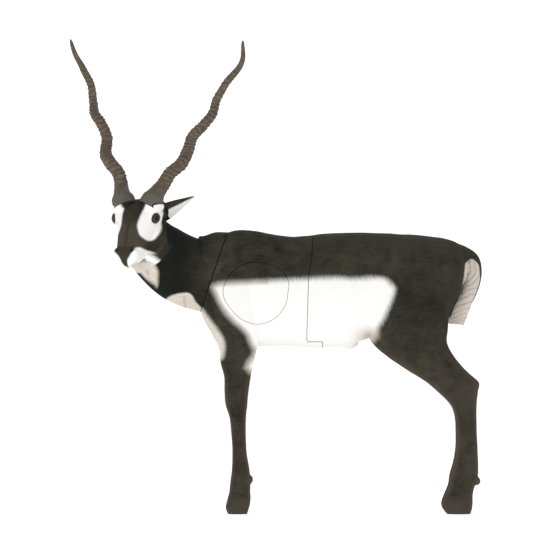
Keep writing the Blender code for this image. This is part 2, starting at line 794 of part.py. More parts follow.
def shells_of(mesh):
    """The separate closed surfaces of the mesh, largest first, each facing outwards."""
    work = bmesh.new()
    work.from_mesh(mesh)
    work.verts.ensure_lookup_table()
    seen, shells = set(), []
    for start in work.verts:
        if start.index in seen:
            continue
        group, queue = {start.index}, [start]
        while queue:
            for edge in queue.pop().link_edges:
                for vert in edge.verts:
                    if vert.index not in group:
                        group.add(vert.index)
                        queue.append(vert)
        seen |= group
        shells.append(group)
    work.free()
    pieces = []
    for group in sorted(shells, key=len, reverse=True):
        work = bmesh.new()
        work.from_mesh(mesh)
        work.verts.ensure_lookup_table()
        others = [v for v in work.verts if v.index not in group]
        bmesh.ops.delete(work, geom=others, context="VERTS")
        if work.calc_volume(signed=True) < 0:
            bmesh.ops.reverse_faces(work, faces=work.faces)
        piece = bpy.data.meshes.new("shell")
        work.to_mesh(piece)
        work.free()
        pieces.append(piece)
    return pieces


def prism(outline, half_width):
    """A closed block with the given outline in x and z, between -y and +y."""
    rings = []
    for y in (-half_width, half_width):
        rings.append([(x, y, z) for x, z in outline])
    count = len(outline)
    points = np.array(rings).reshape(-1, 3)
    faces = [tuple(range(count)), tuple(reversed(range(count, 2 * count)))]
    for i in range(count):
        j = (i + 1) % count
        faces.append((i, i + count, j + count, j))
    return mesh_from("prism", points, faces)


def seam_block(shift):
    """Everything ahead of the middle seam, the seam moved by a small shift."""
    seam = [(x + shift, z + shift) for x, z in MIDDLE_SEAM]
    return prism(seam + [(-1.0, 0.400), (-1.0, 0.900)], BLOCK_HALF_WIDTH)


def insert_block(grow):
    """The rounded block of the insert, from flank to flank, a little larger or smaller."""
    x, z = INSERT_CENTRE
    table = smooth_rows(INSERT_OUTLINE, 300)
    outline = []
    for step in range(INSERT_SIDES):
        degrees = 360 * step / INSERT_SIDES
        radius = grow + float(np.interp(degrees, table[:, 0], table[:, 1]))
        angle = math.radians(degrees)
        outline.append((x + radius * math.cos(angle), z + radius * math.sin(angle)))
    return prism(outline, BLOCK_HALF_WIDTH)


def cleft_block(table, leg_y, side):
    """The wedge that parts the two toes of a hoof."""
    tip, deep, wide, tall = table
    y = side * leg_y
    outline = [(tip - 0.02, wide), (tip + deep, 0.0), (tip - 0.02, -wide)]
    low = [(x, y + dy, -0.02) for x, dy in outline]
    high = [(x, y + dy * 0.5, tall) for x, dy in outline]
    faces = [(0, 1, 2), (5, 4, 3), (0, 3, 4, 1), (1, 4, 5, 2), (2, 5, 3, 0)]
    return mesh_from("cleft", np.array(low + high), faces)


def mouth_block():
    """The groove of the mouth, a thin strip bent round the muzzle from corner to corner."""
    left, _, _, _, out_face = head_axes()
    table = np.array(SKULL)
    down = np.concatenate([np.linspace(MOUTH_CORNER, MOUTH_BEND, MOUTH_STEPS - 1), [MOUTH_END]])
    half = np.interp(down, table[:, 0], table[:, 3])
    half[-1] = MOUTH_TIP
    height = np.interp(down, (MOUTH_CORNER, MOUTH_BEND), (MOUTH_REAR, MOUTH_FRONT))
    down = np.concatenate([down, down[::-1]])
    height = np.concatenate([height, height[::-1]])
    side = np.concatenate([half, -half[::-1]])
    way = np.repeat((1.0, -1.0), MOUTH_STEPS)
    inner = np.array([on_face(s - w * MOUTH_DEPTH, d, h) for s, w, d, h in zip(side, way, down, height)])
    outer = np.array([on_face(s + w * MOUTH_OUTSIDE, d, h) for s, w, d, h in zip(side, way, down, height)])
    lips = slice(MOUTH_STEPS - 1, MOUTH_STEPS + 1)
    inner[lips] -= MOUTH_DEPTH * head_axes()[3]
    outer[lips] += MOUTH_OUTSIDE * head_axes()[3]
    thick = 0.5 * MOUTH_WIDTH * out_face
    upper = np.stack([inner + thick, outer + thick], 1)
    lower = np.stack([inner - thick, outer - thick], 1)
    return sheet_mesh("mouth", upper, lower)


def eye_mesh(side):
    """An eye as a moulded ball, longer along the face than across, and flatter through."""
    centre = on_face(side * EYE[0], EYE[1], EYE[2])
    return ellipsoid("eye", centre, eye_axes(side), EYE_RADII, 6, 12)


def nostril_block(side):
    """The pit of a nostril."""
    left, _, _, down_face, out_face = head_axes()
    centre = on_face(side * NOSTRIL[0], NOSTRIL[1], NOSTRIL[2])
    slant = unit(left * side + 0.9 * down_face)
    flat = unit(np.cross(slant, out_face))
    over = np.cross(flat, slant)
    return ellipsoid("nostril", centre, (slant, flat, over), NOSTRIL_RADII, 6, 10)


def paint(name, finish):
    """A foam paint: colour and roughness on a Principled shader."""
    colour, roughness = finish
    material = bpy.data.materials.new(name)
    material.use_nodes = True
    shader = material.node_tree.nodes["Principled BSDF"]
    shader.inputs["Base Color"].default_value = (*colour, 1.0)
    shader.inputs["Roughness"].default_value = roughness
    shader.inputs["Metallic"].default_value = 0.0
    material.diffuse_color = (*colour, 1.0)
    return material


def finish_node(name, mesh, finish):
    """The finished piece of the target: its largest closed surface, named, painted and shaded."""
    piece = shells_of(mesh)[0]
    piece.name = name
    piece.materials.clear()
    piece.materials.append(paint(name + "_paint", finish))
    piece.shade_smooth()
    piece.set_sharp_from_angle(angle=math.radians(50))
    return object_of(piece, name)


def body_flesh():
    """Torso, neck root and four legs in one skin, before it is parted."""
    forms = [torso_form(), neck_form()]
    axes = np.eye(3)
    forms.append(ellipsoid("sheath_form", (SHEATH[0], 0, SHEATH[1]), axes, SHEATH[2:]))
    for side in (-1, 1):
        forms.append(leg_form("front_leg_form", FRONT_LEG, side))
        forms.append(leg_form("hind_leg_form", HIND_LEG, side))
        forms += dewclaw_forms(FRONT_DEWCLAW, FRONT_LEG[-1][3], side)
        forms += dewclaw_forms(HIND_DEWCLAW, HIND_LEG[-1][3], side)
    whole = relax(remeshed(union_of(forms), BODY_VOXEL), SMOOTH_ROUNDS)
    return thinned(whole, BODY_FACES)


def head_flesh():
    """Head, neck and the front of the torso in one finer skin, before it is parted."""
    forms = [skull_form(), neck_form(), torso_form(), head_lump("chin_form", CHIN, 1)]
    for side in (-1, 1):
        forms.append(leg_form("front_leg_form", FRONT_LEG, side))
        forms.append(head_lump("brow_form", BROW, side))
        forms.append(head_lump("cheek_form", CHEEK, side))
        forms.append(head_lump("nose_form", NOSE, side))
        forms.append(head_lump("lip_form", LIP, side))
        forms.append(orbit_form(side))
        forms.append(lid_form(side))
        forms.append(boss_form(side))
        forms.append(ear_root_form(side))
    whole = union_of(forms)
    front = sliced(whole, (-0.02, 0, 0.7), (-1, 0, 0), 1)
    return relax(remeshed(front, HEAD_VOXEL), SMOOTH_ROUNDS)


def neck_seam_plane():
    """A point on the neck seam, and the direction square to it that looks to the head."""
    top, bottom = np.array(NECK_SEAM_TOP), np.array(NECK_SEAM_BOTTOM)
    rise = top - bottom
    return (top[0], 0.0, top[1]), (-rise[1], 0.0, rise[0])


def build_head_and_neck():
    """Head and neck with their eyes, ears and horns."""
    flesh = head_flesh()
    seam_point, seam_normal = neck_seam_plane()
    margin = CUT_MARGIN * unit(THROAT_NORMAL)
    rough_head = sliced(flesh, THROAT_POINT - margin, THROAT_NORMAL, 1)
    rough_neck = sliced(flesh, THROAT_POINT + margin, THROAT_NORMAL, -1)
    rough_neck = sliced(rough_neck, np.array(seam_point) - CUT_MARGIN * unit(seam_normal), seam_normal, 1)
    head = sliced(thinned(rough_head, HEAD_FACES), THROAT_POINT, THROAT_NORMAL, 1)
    neck = sliced(thinned(rough_neck, NECK_FACES), THROAT_POINT, THROAT_NORMAL, -1)
    neck = sliced(neck, seam_point, seam_normal, 1)
    head = boolean(head, mouth_block(), "DIFFERENCE")
    for side, word in ((-1, "right"), (1, "left")):
        head = boolean(head, nostril_block(side), "DIFFERENCE")
        for name, mesh, finish in (
            ("eye_", eye_mesh(side), EYE_PAINT),
            ("horn_", horn_mesh(side), HORN_PAINT),
            ("ear_", ear_mesh(side), EAR_COAT),
        ):
            head = boolean(head, grown(mesh, GAP), "DIFFERENCE")
            finish_node(name + word, mesh, finish)
    finish_node("head", head, FACE_COAT)
    finish_node("neck", neck, NECK_COAT)


def build_body():
    """Front and rear body, insert, legs and tail."""
    flesh = body_flesh()
    tail = boolean(tail_mesh(), grown(flesh, GAP), "DIFFERENCE")
    finish_node("tail", tail, TAIL_COAT)
    flesh = sliced(flesh, (0, 0, -HALF_GAP), (0, 0, 1), 1)
    seam_point, seam_normal = neck_seam_plane()
    flesh = sliced(flesh, seam_point, seam_normal, -1)
    front_above = sliced(flesh, (0, 0, ELBOW_HEIGHT), (0, 0, 1), 1)
    front = boolean(front_above, seam_block(-HALF_GAP), "INTERSECT")
    insert = boolean(front.copy(), insert_block(-HALF_GAP), "INTERSECT")
    front = boolean(front, insert_block(HALF_GAP), "DIFFERENCE")
    finish_node("torso_front", front, DARK_COAT)
    finish_node("target_insert", insert, INSERT_COAT)
    stifle = (math.sin(STIFLE_SLOPE), 0.0, -math.cos(STIFLE_SLOPE))
    behind = sliced(flesh, (0.05, 0, 0.6), (1, 0, 0), 1)
    rear = sliced(behind, STIFLE_POINT, stifle, -1)
    rear = boolean(rear, seam_block(HALF_GAP), "DIFFERENCE")
    finish_node("torso_rear", rear, DARK_COAT)
    below = sliced(sliced(flesh, (0, 0, ELBOW_HEIGHT), (0, 0, 1), -1), (0.1, 0, 0), (1, 0, 0), -1)
    build_legs("front_leg_", below, FRONT_CLEFT, FRONT_LEG[-1][3])
    below = sliced(behind, STIFLE_POINT, stifle, 1)
    build_legs("hind_leg_", below, HIND_CLEFT, HIND_LEG[-1][3])


def build_legs(name, below, cleft, leg_y):
    """The two legs of a pair, each with its cloven hoof."""
    for side, word in ((-1, "left"), (1, "right")):
        leg = sliced(below, (0, 0, 0), (0, side, 0), 1)
        leg = boolean(shells_of(leg)[0], cleft_block(cleft, leg_y, side), "DIFFERENCE", "MANIFOLD")
        finish_node(name + word, leg, LEG_COAT)


def centre_on_floor():
    """Move the whole target so that the origin lies on the floor under the middle of its box."""
    things = list(bpy.data.objects)
    points = np.array([v.co for thing in things for v in thing.data.vertices])
    low, high = points.min(0), points.max(0)
    shift = Matrix.Translation((-(low[0] + high[0]) / 2, -(low[1] + high[1]) / 2, 0.0))
    for thing in things:
        thing.data.transform(shift)


def main():
    """Clear the scene and build the target."""
    for thing in list(bpy.data.objects):
        bpy.data.objects.remove(thing)
    build_head_and_neck()
    build_body()
    centre_on_floor()


main()
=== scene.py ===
"""The looks of a life-size foam blackbuck archery target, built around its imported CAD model.

The animal faces -X, its left flank faces -Y and the camera looks along +Y. Lengths are metres. The tables of
sizes repeat those of the part's source, in the maker's own frame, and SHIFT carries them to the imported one.
"""

import logging
import math
from collections.abc import Callable, Sequence
from dataclasses import dataclass, field
from enum import Enum

import bmesh
import bpy
import numpy as np
from mathutils import Matrix, Vector


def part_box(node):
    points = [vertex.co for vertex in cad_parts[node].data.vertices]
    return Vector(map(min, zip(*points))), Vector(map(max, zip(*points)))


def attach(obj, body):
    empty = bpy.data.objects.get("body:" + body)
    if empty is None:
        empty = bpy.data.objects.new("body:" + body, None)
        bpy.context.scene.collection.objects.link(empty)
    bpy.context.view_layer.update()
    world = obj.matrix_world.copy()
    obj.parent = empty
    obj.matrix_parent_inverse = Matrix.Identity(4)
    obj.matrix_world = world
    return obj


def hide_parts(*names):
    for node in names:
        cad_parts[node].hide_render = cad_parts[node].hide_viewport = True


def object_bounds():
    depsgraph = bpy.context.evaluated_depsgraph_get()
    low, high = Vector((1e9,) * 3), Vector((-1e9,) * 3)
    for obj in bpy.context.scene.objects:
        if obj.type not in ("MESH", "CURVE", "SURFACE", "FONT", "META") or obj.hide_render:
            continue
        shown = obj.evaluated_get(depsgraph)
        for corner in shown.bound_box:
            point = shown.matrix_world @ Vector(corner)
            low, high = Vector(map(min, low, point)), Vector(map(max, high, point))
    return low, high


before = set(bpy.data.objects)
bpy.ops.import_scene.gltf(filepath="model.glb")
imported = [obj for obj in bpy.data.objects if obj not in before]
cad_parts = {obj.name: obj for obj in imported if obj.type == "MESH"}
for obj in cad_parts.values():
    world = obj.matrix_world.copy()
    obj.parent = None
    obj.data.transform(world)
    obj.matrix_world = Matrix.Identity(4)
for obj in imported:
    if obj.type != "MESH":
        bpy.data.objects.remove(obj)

log = logging.getLogger("blackbuck")
CAD_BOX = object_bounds()

# Insert through the ribs: its centre in x and z, and its rounded outline as degrees and radius
INSERT_CENTRE = (-0.0543, 0.6286)
INSERT_OUTLINE = (
    (0, 0.0906),
    (22, 0.0985),
    (46, 0.0962),
    (80, 0.0878),
    (108, 0.0882),
    (136, 0.0898),
    (179, 0.0930),
    (195, 0.0888),
    (219, 0.0834),
    (252, 0.0854),
    (276, 0.0888),
    (322, 0.0896),
    (340, 0.0903),
    (360, 0.0906),
)

# Resolution of the skins, and how far two pieces of foam stand apart at a seam
BODY_CELL = 0.0032
HEAD_CELL = 0.00185
BODY_ROUNDS = 70
HEAD_ROUNDS = 45
SEAM_HALF_GAP = 0.00002
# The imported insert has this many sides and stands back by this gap
PACKED_SIDES = 44
PACKED_HALF_GAP = 0.00015
# Half width of the dark line painted at each seam, which stands for the shade in its crack
NECK_SEAM_WIDTH = 0.0021
MIDDLE_SEAM_WIDTH = 0.0015
RING_SEAM_WIDTH = 0.0011
HORN_SEAM_WIDTH = 0.0013

# Torso: place along x, height of the back, height of the belly, half width
TORSO = (
    (-0.222, 0.690, 0.610, 0.030),
    (-0.205, 0.730, 0.556, 0.058),
    (-0.185, 0.762, 0.520, 0.075),
    (-0.155, 0.790, 0.488, 0.092),
    (-0.110, 0.808, 0.480, 0.108),
    (-0.050, 0.805, 0.476, 0.121),
    (0.020, 0.792, 0.478, 0.128),
    (0.080, 0.791, 0.474, 0.132),
    (0.135, 0.798, 0.472, 0.133),
    (0.200, 0.801, 0.480, 0.130),
    (0.270, 0.801, 0.500, 0.124),
    (0.360, 0.797, 0.535, 0.116),
    (0.430, 0.792, 0.570, 0.104),
    (0.490, 0.783, 0.605, 0.086),
    (0.530, 0.766, 0.640, 0.062),
    (0.556, 0.735, 0.680, 0.028),
)
BARREL = 0.10

# Neck: centre x, y and z, half height across the neck, half width
NECK = (
    (-0.020, 0.000, 0.655, 0.100, 0.075),
    (-0.090, 0.000, 0.668, 0.126, 0.090),
    (-0.174, 0.000, 0.684, 0.120, 0.088),
    (-0.235, -0.006, 0.687, 0.103, 0.078),
    (-0.285, -0.022, 0.708, 0.097, 0.070),
    (-0.338, -0.046, 0.751, 0.087, 0.064),
    (-0.378, -0.064, 0.800, 0.070, 0.052),
)

# Front leg: height, front edge x, rear edge x, centre y, half width
FRONT_LEG = (
    (0.755, -0.120, -0.065, 0.050, 0.020),
    (0.700, -0.165, -0.035, 0.062, 0.042),
    (0.630, -0.185, -0.030, 0.072, 0.050),
    (0.560, -0.188, -0.038, 0.078, 0.049),
    (0.510, -0.178, -0.044, 0.078, 0.046),
    (0.474, -0.160, -0.050, 0.077, 0.041),
    (0.432, -0.155, -0.061, 0.075, 0.035),
    (0.391, -0.145, -0.069, 0.073, 0.029),
    (0.343, -0.144, -0.076, 0.071, 0.027),
    (0.309, -0.140, -0.079, 0.070, 0.026),
    (0.272, -0.129, -0.083, 0.069, 0.021),
    (0.225, -0.124, -0.084, 0.068, 0.019),
    (0.170, -0.121, -0.081, 0.067, 0.019),
    (0.123, -0.123, -0.073, 0.066, 0.022),
    (0.094, -0.127, -0.070, 0.065, 0.024),
    (0.062, -0.130, -0.071, 0.065, 0.024),
    (0.036, -0.137, -0.070, 0.065, 0.028),
    (0.016, -0.140, -0.074, 0.065, 0.029),
    (-0.006, -0.130, -0.082, 0.065, 0.025),
    (-0.020, -0.124, -0.088, 0.065, 0.020),
)

# Hind leg, in the same terms
HIND_LEG = (
    (0.765, 0.400, 0.500, 0.040, 0.026),
    (0.710, 0.330, 0.536, 0.058, 0.050),
    (0.640, 0.288, 0.530, 0.066, 0.060),
    (0.570, 0.272, 0.498, 0.070, 0.060),
    (0.523, 0.268, 0.492, 0.072, 0.056),
    (0.486, 0.278, 0.490, 0.073, 0.052),
    (0.446, 0.322, 0.511, 0.073, 0.045),
    (0.403, 0.386, 0.549, 0.072, 0.036),
    (0.375, 0.431, 0.580, 0.071, 0.030),
    (0.350, 0.461, 0.578, 0.070, 0.027),
    (0.315, 0.497, 0.574, 0.069, 0.023),
    (0.280, 0.514, 0.573, 0.068, 0.021),
    (0.230, 0.518, 0.574, 0.067, 0.020),
    (0.180, 0.516, 0.577, 0.066, 0.021),
    (0.140, 0.509, 0.578, 0.066, 0.023),
    (0.108, 0.500, 0.578, 0.065, 0.025),
    (0.082, 0.496, 0.570, 0.065, 0.026),
    (0.058, 0.487, 0.563, 0.065, 0.027),
    (0.030, 0.477, 0.562, 0.065, 0.030),
    (0.012, 0.480, 0.560, 0.065, 0.030),
    (-0.006, 0.496, 0.552, 0.065, 0.025),
    (-0.020, 0.506, 0.544, 0.065, 0.020),
)
SOLE_Y = 0.065

# Dewclaws behind each fetlock: x, z, offset each side, radius
FRONT_DEWCLAW = (-0.073, 0.096, 0.011, 0.010)
HIND_DEWCLAW = (0.573, 0.095, 0.011, 0.011)
# Cleft of each hoof: tip of the toe in x, depth to the rear, width at the toe, height
FRONT_CLEFT = (-0.146, 0.044, 0.007, 0.040)
HIND_CLEFT = (0.471, 0.052, 0.007, 0.038)
# Sheath under the belly: x, z, radii
SHEATH = (0.212, 0.484, 0.026, 0.013, 0.015)

# Head: crown between the horns, turn from the -Y direction towards -X, and slope of the face
CROWN = (-0.391, -0.090, 0.895)
HEAD_TURN = math.radians(25.0)
FACE_SLOPE = math.radians(60.0)

# Skull and muzzle: distance down the face, forehead side, jaw side, half width
SKULL = (
    (-0.052, -0.088, -0.106, 0.018),
    (-0.038, -0.060, -0.116, 0.042),
    (-0.016, -0.026, -0.119, 0.057),
    (0.012, 0.000, -0.119, 0.062),
    (0.045, 0.012, -0.119, 0.059),
    (0.075, 0.014, -0.119, 0.052),
    (0.100, 0.012, -0.109, 0.046),
    (0.125, 0.008, -0.097, 0.040),
    (0.150, 0.003, -0.086, 0.036),
    (0.172, -0.001, -0.075, 0.032),
    (0.187, -0.008, -0.061, 0.027),
    (0.197, -0.018, -0.048, 0.018),
)
SKULL_TAPER = 0.16
SKULL_POWER = 2.3

# Lumps of the head: to the side, down the face, out of the face, then their three radii
BROW = (0.046, 0.028, -0.012, 0.018, 0.022, 0.014)
CHEEK = (0.036, 0.078, -0.078, 0.020, 0.044, 0.036)
NOSE = (0.018, 0.167, -0.012, 0.019, 0.015, 0.015)
LIP = (0.010, 0.176, -0.033, 0.020, 0.024, 0.015)
CHIN = (0.000, 0.175, -0.049, 0.018, 0.020, 0.012)
# Boss under each horn: how far it lies below the horn's root, and its radii
BOSS_DROP = 0.018
BOSS_RADII = (0.031, 0.033, 0.026)

# Eye: centre to the side, down the face, out of the face, its turn from straight ahead to the side, and its
# radii through it, along the face and across it
EYE = (0.0643, 0.0534, -0.0155)
EYE_TURN = math.radians(48.0)
EYE_RADII = (0.0100, 0.0155, 0.0125)
# Orbit under the eye: how far it is sunk and its radii, and how far the lids stand off the eye and their half
# thickness
ORBIT_SINK = 0.0095
ORBIT_RADII = (0.0120, 0.0225, 0.0195)
LID_OFF = 0.0024
LID_THICKNESS = 0.0028

# Nostril: centre to the side and down the face, half length, half width, depth of the pit
NOSTRIL = (0.0248, 0.1680, 0.0085, 0.0034, 0.0042)

# Mouth: height out of the face at the lips and at the corner, where it runs from the corner to the lips down
# the face, width and depth of the line
MOUTH_FRONT = -0.041
MOUTH_REAR = -0.049
MOUTH_CORNER = 0.135
MOUTH_BEND = 0.189
MOUTH_WIDTH = 0.0014
MOUTH_DEPTH = 0.0011

# Ear: root to the side, forward and up from the crown, how far the lump at its root is set in, and its radii
EAR_ROOT = (0.058, -0.058, -0.036)
EAR_INSET = 0.006
EAR_ROOT_RADII = (0.019, 0.021, 0.022)
# Ear: length, sweep out and lift, half width with its taper, waist and least value, cup and its turn to the
# front, foam thickness, and depth in the head
EAR_LENGTH = 0.112
EAR_SWEEP = math.radians(30.0)
EAR_LIFT = math.radians(24.0)
EAR_HALF_WIDTH = 0.027
EAR_TAPER = 1.08
EAR_WAIST = 0.28
EAR_EDGE = 0.0025
EAR_CUP = 0.016
EAR_FRONT = 0.55
EAR_FOAM = 0.0065
EAR_SINK = 0.012

# Horns: root to the side, forward and up from the crown, and each tip in the same terms (1 left, -1 right)
HORN_ROOT = (0.048, -0.005, 0.000)
HORN_TIPS = {1: (0.2682, -0.134, 0.4509), -1: (0.2818, -0.134, 0.4641)}
HORN_SINK = 0.022
HORN_BOW_BACK = 0.022
# Coil of the horns to the front and rear: its radius, and as shares of the length its pitch, its start, and
# the stretches over which it grows at the root and dies out at the tip
COIL_RADIUS = 0.0095
COIL_PITCH = 0.272
COIL_START = 0.280
COIL_GROWS = 0.10
COIL_FADES = 0.20
# Slow loss of the coil along the horn: strength at the root, above one where it is held, and loss to the tip
COIL_AT_ROOT = 1.25
COIL_LOSS = 0.55
# Bends of the left horn: share of the length, distance out from the straight line
LEFT_BENDS = (
    (0.00, 0.0000),
    (0.08, -0.0045),
    (0.16, 0.0013),
    (0.24, 0.0181),
    (0.32, 0.0057),
    (0.40, -0.0033),
    (0.48, 0.0153),
    (0.56, 0.0176),
    (0.64, 0.0050),
    (0.72, 0.0132),
    (0.82, 0.0222),
    (0.91, 0.0239),
    (1.00, 0.0000),
)
# Bends of the right horn, in the same terms
RIGHT_BENDS = (
    (0.00, 0.0000),
    (0.08, -0.0020),
    (0.16, -0.0086),
    (0.24, 0.0054),
    (0.32, 0.0151),
    (0.40, -0.0039),
    (0.48, -0.0043),
    (0.56, 0.0085),
    (0.64, 0.0015),
    (0.72, -0.0121),
    (0.82, -0.0047),
    (0.91, 0.0030),
    (1.00, 0.0000),
)
# Horn radius: share of the length, radius
HORN_RADIUS = (
    (-0.06, 0.0330),
    (0.000, 0.0328),
    (0.020, 0.0275),
    (0.045, 0.0232),
    (0.080, 0.0205),
    (0.130, 0.0190),
    (0.250, 0.0175),
    (0.450, 0.0152),
    (0.650, 0.0118),
    (0.800, 0.0098),
    (0.920, 0.0070),
    (0.980, 0.0046),
    (1.000, 0.0022),
)

# Tail: centre x and z, half depth, half width. Its root lies lower and its tip is deeper than the part's.
TAIL = (
    (0.509, 0.763, 0.012, 0.014),
    (0.538, 0.742, 0.021, 0.026),
    (0.559, 0.719, 0.026, 0.033),
    (0.564, 0.686, 0.0265, 0.038),
    (0.559, 0.655, 0.026, 0.040),
    (0.546, 0.621, 0.025, 0.040),
    (0.529, 0.588, 0.025, 0.037),
    (0.517, 0.558, 0.026, 0.032),
    (0.515, 0.540, 0.022, 0.026),
)
# Outline of the cream locks on the tail, seen from the side: x, z
TAIL_PATCH = (
    (0.5625, 0.7248),
    (0.5500, 0.7190),
    (0.5420, 0.7080),
    (0.5384, 0.6754),
    (0.5323, 0.6428),
    (0.5228, 0.6126),
    (0.5105, 0.5854),
    (0.4996, 0.5552),
    (0.4936, 0.5293),
    (0.5050, 0.5240),
    (0.5391, 0.5260),
    (0.5440, 0.5394),
    (0.5630, 0.6054),
    (0.582, 0.6577),
    (0.5825, 0.6920),
    (0.579, 0.7103),
)

# Real seams of the moulded target, seen from the left flank: x, z
NECK_SEAM_TOP = (-0.1314, 0.814)
NECK_SEAM_BOTTOM = (-0.2170, 0.5610)
MIDDLE_SEAM = (
    (0.1100, 0.900),
    (0.1060, 0.750),
    (0.0950, 0.670),
    (0.0900, 0.498),
    (0.0940, 0.490),
    (0.1350, 0.490),
    (0.1350, 0.000),
)
# Plane between head and neck: a point and the direction that looks to the head
THROAT_POINT = (-0.343, -0.043, 0.755)
THROAT_NORMAL = (-0.60, -0.45, 0.66)

# Outline of the white flank, seen from the side: x, z
FLANK_WHITE = (
    (-0.175, 0.652),
    (-0.097, 0.6606),
    (0.020, 0.665),
    (0.157, 0.6725),
    (0.220, 0.669),
    (0.303, 0.6714),
    (0.330, 0.652),
    (0.339, 0.637),
    (0.330, 0.606),
    (0.317, 0.574),
    (0.306, 0.551),
    (0.293, 0.529),
    (0.290, 0.500),
    (0.262, 0.470),
    (0.262, 0.400),
    (-0.061, 0.400),
    (-0.061, 0.460),
    (-0.069, 0.483),
    (-0.080, 0.511),
    (-0.097, 0.529),
    (-0.120, 0.549),
    (-0.149, 0.583),
    (-0.167, 0.618),
)
# Outline of the cream chest
CHEST_WHITE = (
    (-0.303, 0.617),
    (-0.263, 0.6286),
    (-0.240, 0.6257),
    (-0.223, 0.600),
    (-0.204, 0.580),
    (-0.184, 0.553),
    (-0.163, 0.526),
    (-0.146, 0.497),
    (-0.143, 0.466),
    (-0.154, 0.440),
    (-0.200, 0.440),
    (-0.260, 0.520),
    (-0.330, 0.580),
)
# Outline of the cream throat
THROAT_WHITE = (
    (-0.386, 0.724),
    (-0.366, 0.733),
    (-0.348, 0.725),
    (-0.337, 0.704),
    (-0.3306, 0.688),
    (-0.3317, 0.668),
    (-0.3350, 0.645),
    (-0.3437, 0.652),
    (-0.3611, 0.665),
    (-0.3788, 0.6825),
    (-0.3925, 0.700),
)

# The head's paint lies on a map of the distance round the head from the middle of the face, and down the face
HEAD_GIRTH_RADIUS = 0.062
HEAD_GIRTH_OUT = -0.055
EYE_WHITE = (
    (0.0335, 0.022),
    (0.046, 0.014),
    (0.058, 0.010),
    (0.072, 0.009),
    (0.088, 0.012),
    (0.098, 0.024),
    (0.1045, 0.038),
    (0.1045, 0.054),
    (0.1045, 0.068),
    (0.1033, 0.083),
    (0.1015, 0.0965),
    (0.094, 0.1053),
    (0.066, 0.115),
    (0.0424, 0.1175),
    (0.0314, 0.1096),
    (0.0247, 0.0954),
    (0.0233, 0.084),
    (0.0254, 0.0663),
    (0.0283, 0.045),
    (0.0312, 0.0312),
)
LIP_WHITE = (
    (0.0338, 0.1575),
    (0.0452, 0.1487),
    (0.0732, 0.1405),
    (0.1166, 0.131),
    (0.1233, 0.1375),
    (0.1307, 0.144),
    (0.1378, 0.1495),
    (0.1400, 0.1560),
    (0.105, 0.172),
    (0.0629, 0.1865),
    (0.0356, 0.2000),
    (0.0140, 0.2080),
    (0.0150, 0.1990),
    (0.0155, 0.1910),
    (0.0213, 0.1829),
    (0.0289, 0.1737),
    (0.0335, 0.1650),
)
# Cream under the chin, in the terms of the head's paint map
CHIN_CREAM = (
    (0.1400, 0.1540),
    (0.170, 0.160),
    (0.200, 0.164),
    (0.200, 0.230),
    (0.030, 0.230),
    (0.0140, 0.2060),
    (0.0356, 0.1980),
    (0.0629, 0.1840),
    (0.105, 0.169),
)
# Where the black of the neck starts behind the cheek: place down the face, place round the head
JAW_EDGE = (
    (-0.050, 0.085),
    (0.000, 0.090),
    (0.0110, 0.0942),
    (0.0215, 0.1201),
    (0.0500, 0.1124),
    (0.0737, 0.1135),
    (0.0953, 0.1177),
    (0.1097, 0.1216),
    (0.1267, 0.1250),
    (0.1411, 0.1299),
    (0.1600, 0.1400),
)
NOSE_BLACK = (
    (-0.030, 0.158),
    (0.005, 0.1575),
    (0.0169, 0.1530),
    (0.0284, 0.1550),
    (0.0338, 0.1610),
    (0.0289, 0.1737),
    (0.0213, 0.1829),
    (0.0155, 0.1910),
    (0.0150, 0.1990),
    (0.0125, 0.212),
    (-0.030, 0.212),
)


def unit(vector: Sequence[float]) -> np.ndarray:
    """The vector at length one."""
    vector = np.array(vector, dtype=float)
    return vector / np.linalg.norm(vector)


def smoothed(rows: Sequence[Sequence[float]], count: int, closed: bool = False) -> np.ndarray:
    """Fills in the rows of a table by the Catmull-Rom curve through them.

    Args:
        rows: the table's rows.
        count: number of rows wanted.
        closed: whether the last row joins the first one.

    Returns:
        The rows of the curve, evenly along the table.
    """
    rows = np.array(rows, dtype=float)
    if closed:
        knots = np.vstack([rows[-1], rows, rows[0], rows[1]])
        spans = len(rows)
    else:
        knots = np.vstack([2 * rows[0] - rows[1], rows, 2 * rows[-1] - rows[-2]])
        spans = len(rows) - 1
    place = np.linspace(0, spans, count, endpoint=not closed)
    index = np.minimum(place.astype(int), spans - 1)
    t = (place - index)[:, None]
    a, b, c, d = (knots[index + k] for k in range(4))
    cubic = 3 * b - a - 3 * c + d
    square = 2 * a - 5 * b + 4 * c - d
    return 0.5 * (2 * b + (c - a) * t + square * t**2 + cubic * t**3)


def soft_step(value: np.ndarray, low: float, high: float) -> np.ndarray:
    """Zero below low and one above high, with 3t^2 - 2t^3 between them."""
    t = np.clip((value - low) / (high - low), 0, 1)
    return t * t * (3 - 2 * t)


def insert_radius(degrees: np.ndarray) -> np.ndarray:
    """The insert's radius in each direction, between the rows of its smoothed table."""
    rows = smoothed(INSERT_OUTLINE, 300)
    return np.interp(degrees, rows[:, 0], rows[:, 1])


def insert_outline(grow: float, sides: int) -> np.ndarray:
    """Corners of the insert's outline in x and z, grown by a length."""
    degrees = 360 * np.arange(sides) / sides
    reach = (insert_radius(degrees) + grow)[:, None]
    turn = np.radians(degrees)
    return np.array(INSERT_CENTRE) + reach * np.stack([np.cos(turn), np.sin(turn)], -1)


def packed_shift() -> np.ndarray:
    """The way from the maker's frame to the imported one, told by the middle of the insert's packed box."""
    low, high = (np.array(corner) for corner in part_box("target_insert"))
    outline = insert_outline(-PACKED_HALF_GAP, PACKED_SIDES)
    middle = (outline.min(0) + outline.max(0)) / 2
    return np.array(((low[0] + high[0]) / 2 - middle[0], (low[1] + high[1]) / 2, 0.0))


SHIFT = packed_shift()


